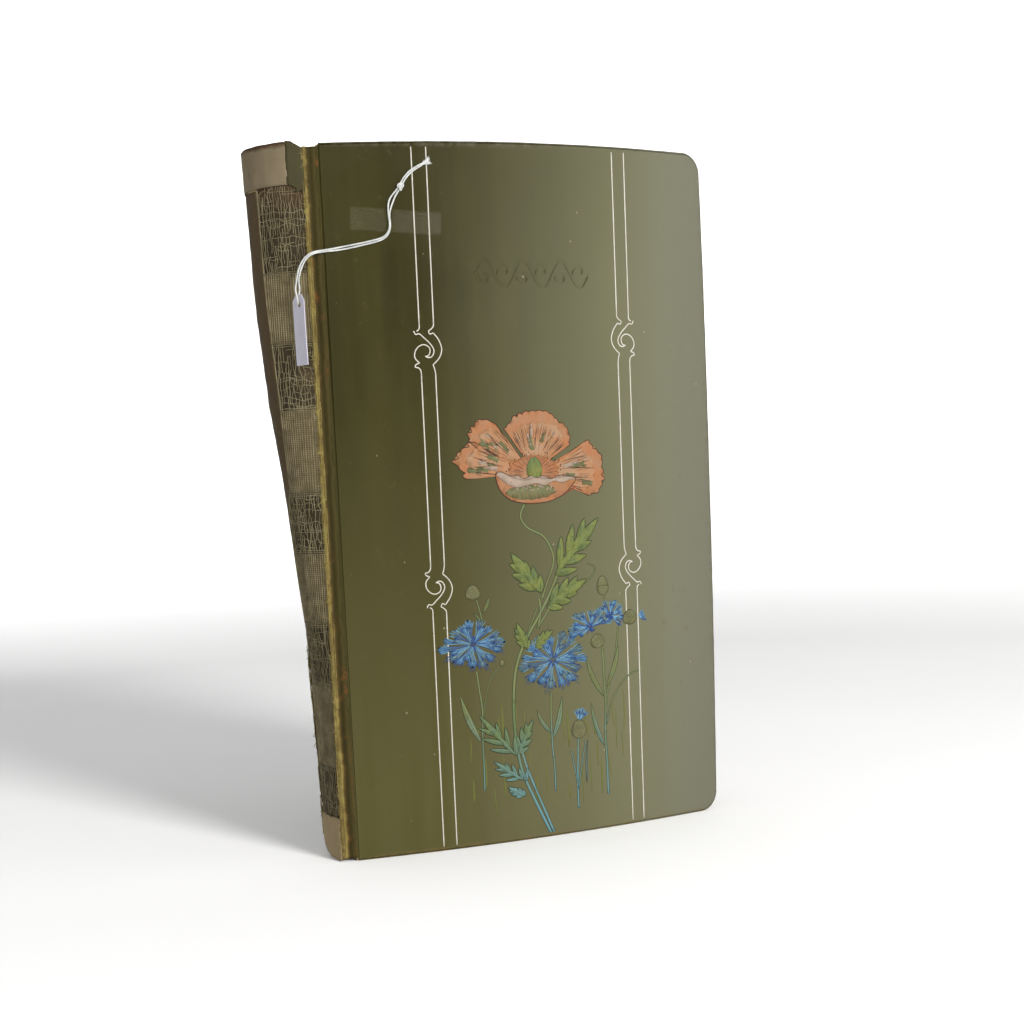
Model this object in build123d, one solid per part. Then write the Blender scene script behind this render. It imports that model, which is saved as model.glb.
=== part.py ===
from build123d import *
from math import asin, cos, degrees, hypot, pi, radians, sin, tan

# Tall case-bound scrapbook album, standing on its tail (millimetres).
# X runs along the cover from the spine to the fore-edge, Y from front to back, Z up.
# The origin is the middle of the front cover's tail edge, on the standing plane.

# Covers
HEIGHT = 380.0          # covers, tail to head
WIDTH = 238.0           # front cover, joint to fore-edge
BOW = 10.0              # how far the front cover's middle stands forward of its edges
COVER_T = 3.6           # board and cloth together
CLOTH_T = 0.6
PASTEDOWN_T = 0.4
HEAD_CROWN = 2.0        # rise of the worn head edge at its middle
FORE_CROWN = 2.0        # swell of the worn fore-edge at its middle
CORNER_R = 11.0
SQUARE = 5.0            # how far a cover stands out past the leaves
JOINT_W = 6.4           # cloth groove between the spine and a board
HINGE_U = 3.0           # hinge line, from the spine edge
HINGE_DEPTH = 1.6       # hinge line, below the cover's outer face
GROOVE_HALF_T = 0.4     # half thickness of the joint cloth at the hinge line
GROOVE_END = 1.0        # how far the joint cloth stops short of a cover's ends
STRIP_END = 2.0         # the same for the strip on the spine's side
FOLD_GAP = 0.2          # from the hinge line to the cloth that swings
STRIP_GAP = 0.7         # from the hinge line to the cloth that stays
PASTE_START = 2.0       # from a board's joint side to its pastedown
GLUE_GAP = 0.05         # clearance between layers that touch
BACK_LIFT = 0.12        # keeps the leaning back cover's foot on the standing plane

# Text block: deeper at the head, where the sewing has gone slack, than at the tail
TAIL_DEPTH = 29.0       # over both covers
HEAD_DEPTH = 56.0
SPLAY = 4.0             # degrees that the back cover stands open
LEAVES = 16
LEAF_T = 0.6
LEAF_W = 210.0
LEAF_START = 6.0        # from a leaf's fold line to its card
LEAF_BOW = 8.0          # the front cover's bow, as the leaf behind it takes it up
STUB_W = 13.0           # sewn stubs, spine edge to fold line side
FOLD_U = 14.0           # fold line of the leaves, from the spine edge
STUB_CLEAR = 4.6        # from a cover's outer face to the stubs
STUB_GAP = 0.15
# Height and backward round of the spine: strong at the head, nearly flat at the tail
SPINE_ROUND = [
    (4, 1.0), (60, 1.5), (102, 2.5), (152, 8.0), (202, 12.0), (249, 17.5), (302, 21.0), (376, 22.0),
]
SPINE_SETBACK = 1.5

# Spine coverings
MULL_T = 0.6
PATCH_T = 0.7
HEAD_PATCH_Z = 359.0
HEAD_PATCH_SLOPE = 3.0  # how much lower its edge lies at the rear
BEYOND_REAR = 90.0      # a depth behind the whole spine
TAIL_PATCH_Z = 24.0
MULL_ZONES = [24.0, 52.0, 96.0, 131.0, 168.0, 201.0, 244.0, 279.0, 315.0, 359.0]
# Rear edge of the mull, as (depth from the front cover's face, height); paper lining lies behind it
MULL_REAR = [(60.0, 163.0), (28.0, 180.0), (18.0, 203.0), (15.0, 249.0), (16.5, 302.0), (18.5, 359.0)]
LINING_BOTTOM_Z = 163.0
REMNANT_DEPTH = 4.2     # width of the old spine cloth left beside the joint at the head
REMNANT_BOTTOM_Z = 356.0
ZONE_GAP = 0.1          # between neighbouring bands of the mull

# Ticket on its string, taped to the front cover
STRING_D = 1.2
STRING_LIFT = 0.75      # string's centreline above the cover cloth
KNOT_R = 1.7
KNOT_AT = (50.0, 357.8)     # from the joint, height
TAPE_SIZE = (50.0, 12.0)
TAPE_T = 0.2
TAPE_CLEAR = 0.1            # between the string and the tape's arch
TAPE_CENTRE = (47.3, 340.4)
TAPE_TURN = -4.0
TAPE_ARCH = (41.8, 45.2)    # the arch over the string, from the joint
TICKET_SIZE = (11.0, 36.0)
TICKET_T = 0.4
TICKET_CLIP = 3.0
TICKET_TOP = 5.0            # card above the hole's centre
TICKET_HOLE_R = 1.6
TICKET_HOLE = (-8.2, -3.4, 298.1)   # from the joint, from the front face, height
TICKET_TURN = 12.0
# The string's route. On the cover: (from the joint, height), from its cut ends to the joint
COVER_ROUTE = [
    (62.6, 369.4), (57.2, 366.8), (52.6, 362.4), (49.6, 357.2), (44.8, 351.6), (43.0, 344.5), (43.9, 337.0),
    (40.8, 331.8), (33.5, 329.8), (24.6, 328.0), (15.0, 326.3),
]
# Then over the joint and down to the ticket: (from the joint, from the front face, height)
DROP_ROUTE = [
    (7.0, -2.9, 325.4), (0.0, -4.0, 324.3), (-5.0, -4.9, 320.6), (-8.2, -4.7, 314.0),
    (-9.1, -4.0, 306.0), (-8.8, -3.5, 298.3),
]
STRING_CUTS = (12.0, -4.0)  # where the string leaves the cover's hold and reaches the drop
ARC_SHARE = 0.45            # share of a straight run that each of its bends may take

JOINT_X = -WIDTH / 2
ARC_R = ((WIDTH / 2) ** 2 + BOW ** 2) / (2 * BOW)
ARC_Y = ARC_R - COVER_T / 2
JOINT_Y = BOW - COVER_T / 2
LEAN = degrees(asin((HEAD_DEPTH - TAIL_DEPTH) / hypot(HEIGHT, HEAD_DEPTH - TAIL_DEPTH)))
BIG = 500.0             # beyond the whole album
FLOOR_Z = -5.0          # just below the standing plane
FORE_MARGIN = 6.0       # covers are made this much too wide, then cut to their outline
SPINE_REACH = (40.0, 20.0)  # prisms across the spine run this far behind and ahead of the joint


def save(name, shape):
    solids = shape.solids()
    body = solids[0] if len(solids) == 1 else Compound(children=list(solids))
    export_step(body, f"parts/{name}.step")


def depth_at(z):
    return TAIL_DEPTH + (HEAD_DEPTH - TAIL_DEPTH) * z / HEIGHT


def cover_point(x, depth):
    """A point (x, y) at a depth below the front cover's outer face."""
    r = ARC_R - depth
    a = asin(x / ARC_R)
    return r * sin(a), ARC_Y - r * cos(a)


def cover_band(x0, x1, outer, inner):
    """The bowed slab between two depths below the front cover's outer face."""
    mid = (x0 + x1) / 2
    edges = [
        ThreePointArc(cover_point(x0, outer), cover_point(mid, outer), cover_point(x1, outer)),
        Line(cover_point(x1, outer), cover_point(x1, inner)),
        ThreePointArc(cover_point(x1, inner), cover_point(mid, inner), cover_point(x0, inner)),
        Line(cover_point(x0, inner), cover_point(x0, outer)),
    ]
    face = Plane.XY.offset(FLOOR_Z) * make_face(edges)
    return extrude(face, BIG)


def cover_outline(x0, x1, inset, head_crown, fore_crown):
    """A cover's front outline from its joint side x0 to its fore-edge x1, corners rounded."""
    low = inset
    top = HEIGHT - inset
    right = x1 - inset
    head = Line((right, top), (x0, top))
    fore = Line((right, low), (right, top))
    if head_crown:
        head = ThreePointArc((right, top), ((right + x0) / 2, top + head_crown), (x0, top))
    if fore_crown:
        fore = ThreePointArc((right, low), (right + fore_crown, (low + top) / 2), (right, top))
    face = make_face([Line((x0, low), (right, low)), fore, head, Line((x0, top), (x0, low))])
    corners = face.vertices().sort_by(Axis.X)[-2:]
    return fillet(corners, CORNER_R - inset)


def cut_to(plane, face, solid):
    return solid & extrude(plane * face, BIG / 2, both=True)


def sheet_plane(x, y_tail, lean, splay):
    """Plane of a leaf or cover: local X along its tail edge, local Y up, local Z to the front."""
    along = Vector(cos(radians(splay)), sin(radians(splay)), 0)
    up = Vector(0, sin(radians(lean)), cos(radians(lean)))
    up = (up - along * up.dot(along)).normalized()
    return Plane(origin=(x, y_tail, 0), x_dir=along, z_dir=along.cross(up))


def local_box(plane, u, v, w):
    """A box given by its (low, high) along the plane's own axes."""
    size = [u[1] - u[0], v[1] - v[0], w[1] - w[0]]
    middle = [(u[0] + u[1]) / 2, (v[0] + v[1]) / 2, (w[0] + w[1]) / 2]
    return plane * Pos(*middle) * Box(*size)


def world_box(x=(-BIG, BIG), y=(-BIG, BIG), z=(FLOOR_Z, BIG)):
    return local_box(Plane.XY, x, y, z)


# ---------------------------------------------------------------- front cover
def front_cover():
    cloth_x = JOINT_X + JOINT_W
    board_x = cloth_x + CLOTH_T
    fore_x = WIDTH / 2
    board = cover_band(board_x, fore_x + FORE_MARGIN, CLOTH_T, COVER_T)
    board = cut_to(Plane.XZ, cover_outline(board_x, fore_x, CLOTH_T, HEAD_CROWN, FORE_CROWN), board)
    save("front_board", board)

    cloth = cover_band(cloth_x, fore_x + FORE_MARGIN, 0, COVER_T)
    cloth = cut_to(Plane.XZ, cover_outline(cloth_x, fore_x, 0, HEAD_CROWN, FORE_CROWN), cloth)
    hinge_x = JOINT_X + HINGE_U
    hinge_y = JOINT_Y + HINGE_DEPTH
    thickness = (hinge_y - GROOVE_HALF_T, hinge_y + GROOVE_HALF_T)
    groove = world_box((hinge_x + FOLD_GAP, board_x), thickness, (GROOVE_END, HEIGHT - GROOVE_END))
    save("front_cover_cloth", cloth - board + groove)

    paste_x = cloth_x + PASTE_START
    paste = cover_band(paste_x, fore_x, COVER_T, COVER_T + PASTEDOWN_T)
    save("front_pastedown", cut_to(Plane.XZ, cover_outline(paste_x, fore_x, SQUARE, 0, 0), paste))

    strip = world_box((JOINT_X + GLUE_GAP, hinge_x - STRIP_GAP), thickness, (STRIP_END, HEIGHT - STRIP_END))
    save("front_joint_cloth", strip)


# ----------------------------------------------------------------- back cover
def back_cover():
    hinge = sheet_plane(JOINT_X + HINGE_U, JOINT_Y + TAIL_DEPTH - HINGE_DEPTH, LEAN, SPLAY)
    start = JOINT_W - HINGE_U
    width = WIDTH - HINGE_U
    outer = -HINGE_DEPTH
    inner = COVER_T - HINGE_DEPTH
    board_x = start + CLOTH_T
    paste_x = start + PASTE_START
    thickness = (-GROOVE_HALF_T, GROOVE_HALF_T)

    def outline(x0, inset):
        return Pos(0, BACK_LIFT) * cover_outline(x0, width, inset, 0, 0)

    board = local_box(hinge, (board_x, BIG), (FLOOR_Z, BIG), (outer + CLOTH_T, inner))
    board = cut_to(hinge, outline(board_x, CLOTH_T), board)
    save("back_board", board)

    cloth = local_box(hinge, (start, BIG), (FLOOR_Z, BIG), (outer, inner))
    cloth = cut_to(hinge, outline(start, 0), cloth)
    groove = local_box(hinge, (FOLD_GAP, start + FOLD_GAP), (GROOVE_END, HEIGHT - GROOVE_END), thickness)
    save("back_cover_cloth", cloth - board + groove)

    paste = local_box(hinge, (paste_x, BIG), (FLOOR_Z, BIG), (inner, inner + PASTEDOWN_T))
    save("back_pastedown", cut_to(hinge, outline(paste_x, SQUARE), paste))

    strip = local_box(hinge, (-HINGE_U, -STRIP_GAP), (STRIP_END, HEIGHT - STRIP_END), thickness)
    save("back_joint_cloth", strip & world_box(x=(JOINT_X + GLUE_GAP, BIG)))
    print("back cover hinge:", hinge.origin, hinge.y_dir)


# --------------------------------------------------------------------- leaves
def stub_depths(share):
    """Depth of a place in the text block at the tail and the head; share 0 is its front, 1 its back."""
    tail = STUB_CLEAR + (TAIL_DEPTH - 2 * STUB_CLEAR) * share
    head = STUB_CLEAR + (HEAD_DEPTH - 2 * STUB_CLEAR) * share
    return tail, head


def bowed_leaf(plane, span, bow):
    """A leaf that follows the front cover's bow, from its fold line to its fore-edge."""
    radius = ((span / 2) ** 2 + bow ** 2) / (2 * bow)

    def at(u, offset):
        a = asin((u - span / 2) / radius)
        return span / 2 + (radius + offset) * sin(a), bow - radius + (radius + offset) * cos(a)

    mid = (LEAF_START + span) / 2
    half = LEAF_T / 2
    edges = [
        ThreePointArc(at(LEAF_START, half), at(mid, half), at(span, half)),
        Line(at(span, half), at(span, -half)),
        ThreePointArc(at(span, -half), at(mid, -half), at(LEAF_START, -half)),
        Line(at(LEAF_START, -half), at(LEAF_START, half)),
    ]
    section = Plane(origin=plane.origin, x_dir=plane.x_dir, z_dir=plane.y_dir * -1)
    return extrude(section.offset(-SQUARE) * make_face(edges), HEIGHT - 2 * SQUARE, dir=plane.y_dir)


def leaves():
    span = LEAF_START + LEAF_W
    for index in range(LEAVES):
        share = (index + 0.5) / LEAVES
        tail, head = stub_depths(share)
        lean = degrees(asin((head - tail) / hypot(HEIGHT, head - tail)))
        plane = sheet_plane(JOINT_X + FOLD_U, JOINT_Y + tail, lean, SPLAY * share)
        bow = LEAF_BOW * max(0.0, 1 - 2 * share)
        if bow:
            leaf = bowed_leaf(plane, span, bow)
        else:
            leaf = local_box(plane, (LEAF_START, span), (SQUARE, HEIGHT - SQUARE), (-LEAF_T / 2, LEAF_T / 2))
        save(f"leaf_{index + 1:02d}", leaf)
        print(f"leaf_{index + 1:02d} hinge:", plane.origin, plane.y_dir)


# ---------------------------------------------------------------------- spine
def spine_core(grow):
    """The rounded spine, grown outward, as a loft over its height."""
    sections = []
    for z, swell in SPINE_ROUND:
        depth = depth_at(z)
        front = JOINT_Y + SPINE_SETBACK - grow
        rear = JOINT_Y + depth - SPINE_SETBACK + grow
        edges = [
            Line((JOINT_X + STUB_W, front), (JOINT_X, front)),
            ThreePointArc((JOINT_X, front), (JOINT_X - swell - grow, (front + rear) / 2), (JOINT_X, rear)),
            Line((JOINT_X, rear), (JOINT_X + STUB_W, rear)),
            Line((JOINT_X + STUB_W, rear), (JOINT_X + STUB_W, front)),
        ]
        sections.append(Plane.XY.offset(z) * make_face(edges))
    return loft(sections, ruled=True)


def depth_prism(outline):
    """A prism across the spine over an outline of (depth from the front face, height) points."""
    points = [(JOINT_Y + depth, z) for depth, z in outline]
    behind, ahead = SPINE_REACH
    face = Plane.YZ.offset(JOINT_X - behind) * make_face(Polyline(*points, close=True))
    return extrude(face, behind + ahead, dir=(1, 0, 0))


def sections():
    """Sewn stubs: one wedge for every two leaves."""
    bottom, top = SPINE_ROUND[0][0], SPINE_ROUND[-1][0]
    core = spine_core(0) & world_box(z=(bottom, top))
    count = LEAVES // 2
    for index in range(count):
        tail0, head0 = stub_depths(index / count)
        tail1, head1 = stub_depths((index + 1) / count)
        wedge = depth_prism([(tail0 + STUB_GAP, 0), (tail1, 0), (head1, HEIGHT), (head0 + STUB_GAP, HEIGHT)])
        save(f"section_{index + 1}", core & wedge)


def spine_shell(low, high):
    """A layer round the spine, between two heights above it."""
    return (spine_core(high) - spine_core(low)) & world_box(x=(-BIG, JOINT_X))


def spine_coverings():
    mull = spine_shell(GLUE_GAP, MULL_T)
    top, bottom = MULL_REAR[-1][1], MULL_REAR[0][1]
    behind = depth_prism(MULL_REAR + [(BEYOND_REAR, top), (BEYOND_REAR, bottom)])
    front_part = mull - behind
    for index, (low, high) in enumerate(zip(MULL_ZONES, MULL_ZONES[1:])):
        kind = "mull_open" if index % 2 == 0 else "mull_close"
        band = front_part & world_box(z=(low + ZONE_GAP, high - ZONE_GAP))
        save(f"{kind}_{index // 2 + 1}", band)
    lining = mull & behind
    save("spine_lining", lining & world_box(z=(LINING_BOTTOM_Z, HEAD_PATCH_Z - ZONE_GAP)))

    upper = spine_shell(MULL_T + GLUE_GAP, MULL_T + PATCH_T)
    head = depth_prism([
        (REMNANT_DEPTH, HEAD_PATCH_Z), (REMNANT_DEPTH, BIG), (BEYOND_REAR, BIG),
        (BEYOND_REAR, HEAD_PATCH_Z - HEAD_PATCH_SLOPE),
    ])
    save("head_patch", upper & head)
    edge = REMNANT_DEPTH - FOLD_GAP
    remnant = depth_prism([(FLOOR_Z, REMNANT_BOTTOM_Z), (edge, REMNANT_BOTTOM_Z), (edge, BIG), (FLOOR_Z, BIG)])
    save("spine_cloth_remnant", upper & remnant)
    save("tail_patch", upper & world_box(z=(FLOOR_Z, TAIL_PATCH_Z)))


# --------------------------------------------------------------------- ticket
def on_cover(u, z):
    """Where the string lies on the front cover, u from the joint."""
    x, y = cover_point(JOINT_X + u, -STRING_LIFT)
    return x, y, z


def string():
    """One tube of straight runs joined by arcs as large as the runs allow, cut into three nodes."""
    points = [on_cover(u, z) for u, z in COVER_ROUTE]
    points += [(JOINT_X + u, JOINT_Y + v, z) for u, v, z in DROP_ROUTE]
    radii = []
    for a, b, c in zip(points, points[1:], points[2:]):
        before = Vector(*b) - Vector(*a)
        after = Vector(*c) - Vector(*b)
        turn = radians(before.get_angle(after))
        radii.append(ARC_SHARE * min(before.length, after.length) / tan(turn / 2))
    line = FilletPolyline(*points, radius=radii)
    profile = Plane(origin=line @ 0, z_dir=line % 0) * Circle(STRING_D / 2)
    solid = sweep(profile, path=line)
    expected = pi * (STRING_D / 2) ** 2 * line.length
    print(f"string: length {line.length:.1f}, volume {solid.volume:.1f}, expected {expected:.1f}")
    print("  radii", [round(radius, 1) for radius in radii])

    first, second = (JOINT_X + cut for cut in STRING_CUTS)
    spans = {
        "string_on_cover": (first, BIG),
        "string_over_joint": (second, first),
        "string_drop": (-BIG, second),
    }
    for name, span in spans.items():
        save(name, solid & world_box(x=span))
    u, z = KNOT_AT
    x, y = cover_point(JOINT_X + u, -KNOT_R - GLUE_GAP)
    save("string_knot", Pos(x, y, z) * Sphere(KNOT_R))


def ticket():
    x, y, z = TICKET_HOLE
    across = Vector(sin(radians(TICKET_TURN)), -cos(radians(TICKET_TURN)), 0)
    facing = Vector(across.Y, -across.X, 0)
    plane = Plane(origin=(JOINT_X + x, JOINT_Y + y, z), x_dir=across, z_dir=facing)
    half, height = TICKET_SIZE[0] / 2, TICKET_SIZE[1]
    top = TICKET_TOP
    clip = TICKET_CLIP
    corners = [
        (-half + clip, top), (half - clip, top), (half, top - clip),
        (half, top - height), (-half, top - height), (-half, top - clip),
    ]
    card = make_face(Polyline(*corners, close=True)) - Circle(TICKET_HOLE_R)
    save("ticket", extrude(plane * card, TICKET_T / 2, both=True))


def tape():
    """Clear tape over the string: flat on the cloth, with an arch where the string runs under it."""
    u, z = TAPE_CENTRE
    width, height = TAPE_SIZE
    outline = Pos(JOINT_X + u, z) * Rot(0, 0, TAPE_TURN) * Rectangle(width, height)
    x0 = JOINT_X + u - width
    x1 = JOINT_X + u + width
    low, high = (JOINT_X + edge for edge in TAPE_ARCH)
    roof = STRING_LIFT + STRING_D / 2 + TAPE_CLEAR
    strip = cover_band(x0, x1, -TAPE_T - GLUE_GAP, -GLUE_GAP)
    arch = cover_band(low - TAPE_T, high + TAPE_T, -roof - TAPE_T, -GLUE_GAP)
    tunnel = cover_band(low, high, -roof, CLOTH_T)
    save("adhesive_tape", cut_to(Plane.XZ, outline, strip + arch - tunnel))


front_cover()
back_cover()
leaves()
sections()
spine_coverings()
string()
ticket()
tape()
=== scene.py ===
import math
import random

import bmesh
import bpy
import numpy as np
from mathutils import Matrix, Vector, noise


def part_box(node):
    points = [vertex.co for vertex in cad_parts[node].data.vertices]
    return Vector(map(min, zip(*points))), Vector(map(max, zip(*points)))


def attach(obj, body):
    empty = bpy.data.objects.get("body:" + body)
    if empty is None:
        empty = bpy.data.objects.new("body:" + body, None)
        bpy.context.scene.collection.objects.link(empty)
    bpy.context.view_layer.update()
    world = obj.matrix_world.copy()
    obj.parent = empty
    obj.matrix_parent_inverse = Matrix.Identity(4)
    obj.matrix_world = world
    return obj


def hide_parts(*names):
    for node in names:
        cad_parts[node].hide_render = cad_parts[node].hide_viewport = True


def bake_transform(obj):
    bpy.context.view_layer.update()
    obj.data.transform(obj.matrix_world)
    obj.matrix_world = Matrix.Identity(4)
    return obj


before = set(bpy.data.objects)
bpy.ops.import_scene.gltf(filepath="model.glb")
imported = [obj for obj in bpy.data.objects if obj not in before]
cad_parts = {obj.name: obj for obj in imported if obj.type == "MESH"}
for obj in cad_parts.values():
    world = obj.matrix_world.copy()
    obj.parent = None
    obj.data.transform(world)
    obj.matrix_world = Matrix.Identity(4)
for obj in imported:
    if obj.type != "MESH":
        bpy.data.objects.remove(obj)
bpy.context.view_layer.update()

# A tall scrapbook album that stands on its tail: bowed front cover with a printed flower design,
# bare mull-covered spine, and a ticket on a string that is taped to the cover.
# Lengths in this file are millimetres unless a name says otherwise; meshes are made in metres.
MM = 0.001
random.seed(7)

# Sizes that the CAD model is driven by
HEIGHT = 380.0
WIDTH = 238.0
BOW = 10.0
COVER_T = 3.6
CORNER_R = 11.0
HEAD_CROWN = 2.0
FORE_CROWN = 2.0
SQUARE = 5.0
HINGE_U = 3.0
HINGE_DEPTH = 1.6
TAIL_DEPTH = 29.0
HEAD_DEPTH = 56.0
SPLAY = 4.0
LEAVES = 16
FOLD_U = 14.0
STUB_CLEAR = 4.6
LEAF_SPAN = 216.0
LEAF_BOW = 8.0
SPINE_SETBACK = 1.5
# The spine's swell outward: (height, swell)
SPINE_ROUND = [(4, 1.0), (60, 1.5), (102, 2.5), (152, 8.0), (202, 12.0), (249, 17.5), (302, 21.0),
               (376, 22.0)]
# The mull's rear edge above the height where it stops being as wide as the spine: (depth, height)
MULL_FULL_Z = 163.0
MULL_REAR = [(60.0, MULL_FULL_Z), (28.0, 180.0), (18.0, 203.0), (15.0, 249.0), (16.5, 302.0), (18.5, 359.0)]
REMNANT_DEPTH = 4.2
# String and ticket: places on the cover are (from the joint, height), the others are from the joint's edge
STRING_LIFT = 0.75
TICKET_SIZE = (11.0, 36.0)
TICKET_TOP = 5.0
TICKET_CLIP = 3.0
TICKET_HOLE_R = 1.6
TICKET_HOLE = (-8.2, -3.4, 298.1)
TICKET_TURN = 12.0
TICKET_T = 0.4
COVER_ROUTE = [
    (62.6, 369.4), (57.2, 366.8), (52.6, 362.4), (49.6, 357.2), (44.8, 351.6), (43.0, 344.5), (43.9, 337.0),
    (40.8, 331.8), (33.5, 329.8), (24.6, 328.0), (15.0, 326.3),
]
KNOT_AT = (50.0, 357.8)
DROP_ROUTE = [
    (7.0, -2.9, 325.4), (0.0, -4.0, 324.3), (-5.0, -4.9, 320.6), (-8.2, -4.7, 314.0),
    (-9.1, -4.0, 306.0), (-8.8, -3.5, 298.3),
]

JOINT_X = -WIDTH / 2
JOINT_Y = BOW - COVER_T / 2
ARC_R = ((WIDTH / 2) ** 2 + BOW ** 2) / (2 * BOW)
ARC_Y = ARC_R - COVER_T / 2
LEAN = math.asin((HEAD_DEPTH - TAIL_DEPTH) / math.hypot(HEIGHT, HEAD_DEPTH - TAIL_DEPTH))


# ------------------------------------------------------------------ camera, light and floor
CAMERA_AT = (-0.443, -0.8998, 0.220)    # metres
CAMERA_LENS = 63.28
CAMERA_YAW = math.radians(-24.4)
CAMERA_PITCH = math.radians(8.08)
CAMERA_ROLL = math.radians(2.67)
CAMERA_SHIFT = (0.0273, 0.1875)
WORLD_STRENGTH = 0.47


def set_camera():
    cy, sy = math.cos(CAMERA_YAW), math.sin(CAMERA_YAW)
    cp, sp = math.cos(CAMERA_PITCH), math.sin(CAMERA_PITCH)
    cr, sr = math.cos(CAMERA_ROLL), math.sin(CAMERA_ROLL)
    turn = Matrix(((cy, sy, 0), (-sy, cy, 0), (0, 0, 1)))
    tip = Matrix(((1, 0, 0), (0, cp, -sp), (0, sp, cp)))
    tilt = Matrix(((cr, 0, -sr), (0, 1, 0), (sr, 0, cr)))
    right, forward, up = tilt @ tip @ turn
    camera = bpy.data.objects.new("camera", bpy.data.cameras.new("camera"))
    camera.data.lens = CAMERA_LENS
    camera.data.shift_x, camera.data.shift_y = CAMERA_SHIFT
    camera.matrix_world = Matrix.Translation(CAMERA_AT) @ Matrix((right, up, -forward)).transposed().to_4x4()
    bpy.context.scene.collection.objects.link(camera)
    bpy.context.scene.camera = camera


def area_light(name, at, aim, size, watts, colour=(1, 1, 1)):
    light = bpy.data.lights.new(name, "AREA")
    light.shape = "DISK"
    light.size = size
    light.energy = watts
    light.color = colour
    lamp = bpy.data.objects.new(name, light)
    lamp.location = at
    lamp.rotation_euler = (Vector(aim) - Vector(at)).to_track_quat("-Z", "Y").to_euler()
    bpy.context.scene.collection.objects.link(lamp)


def set_lights():
    bpy.context.scene.view_settings.view_transform = "Standard"
    middle = (0.0, 0.02, 0.2)
    area_light("key", (0.5, -2.6, 1.15), middle, size=0.8, watts=104.0, colour=(1.0, 0.99, 0.975))
    area_light("sheen", (1.9, -1.35, 0.25), middle, size=0.8, watts=9.0)
    world = bpy.data.worlds.new("studio")
    world.use_nodes = True
    world.node_tree.nodes["Background"].inputs["Color"].default_value = (1.0, 1.0, 1.0, 1.0)
    world.node_tree.nodes["Background"].inputs["Strength"].default_value = WORLD_STRENGTH
    bpy.context.scene.world = world


def make_floor():
    """A round floor that curves up into a low wall a long way off, in metres, glowing more the further out it
    is: painted light.
    """
    flat, rise, rings, spokes = 3.0, 2.0, 10, 72
    steepest = math.radians(80)
    profile = [(0.0, 0.0), (flat * 0.4, 0.0), (flat, 0.0)]
    for step in range(1, rings + 1):
        turn = steepest * step / rings
        profile.append((flat + rise * math.sin(turn), rise * (1 - math.cos(turn))))
    verts = [(0, 0, 0)]
    faces = []
    for radius, z in profile[1:]:
        for k in range(spokes):
            turn = 2 * math.pi * k / spokes
            verts.append((radius * math.cos(turn), radius * math.sin(turn), z))
    for k in range(spokes):
        faces.append((0, 1 + k, 1 + (k + 1) % spokes))
    for ring in range(len(profile) - 2):
        a = 1 + ring * spokes
        for k in range(spokes):
            faces.append((a + k, a + spokes + k, a + spokes + (k + 1) % spokes, a + (k + 1) % spokes))
    mesh = bpy.data.meshes.new("floor")
    mesh.from_pydata(verts, [], faces)
    mesh.polygons.foreach_set("use_smooth", [True] * len(faces))
    floor = bpy.data.objects.new("floor", mesh)
    bpy.context.scene.collection.objects.link(floor)
    finish = Finish("floor_paint", 0.8, Specular_IOR_Level=0.1, Emission_Color=(1.0, 1.0, 1.0, 1.0))
    tone = finish.ramp(finish.noise(3.0), (0.3, (248, 248, 248)), (0.7, (251, 251, 251)))
    finish.paint(tone)
    # Painted light: the floor glows, not at all near the album and more further out, so the far floor and
    # wall show white
    away = finish.span(finish.distance_from((0.0, 0.0, 0.0)), 1.0, 2.6, 0.0, 0.62)
    finish.put(finish.shader, "Emission Strength", away)
    mesh.materials.append(finish.material)


# ------------------------------------------------------------------ materials
def linear(rgb):
    """Linear colour with alpha from 0-255 screen values."""
    return tuple((c / 255 / 12.92) if c < 11 else ((c / 255 + 0.055) / 1.055) ** 2.4 for c in rgb) + (1.0,)


WAVE_PERIOD = 0.31416     # metres between the bands of a wave texture whose scale is 1


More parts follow.
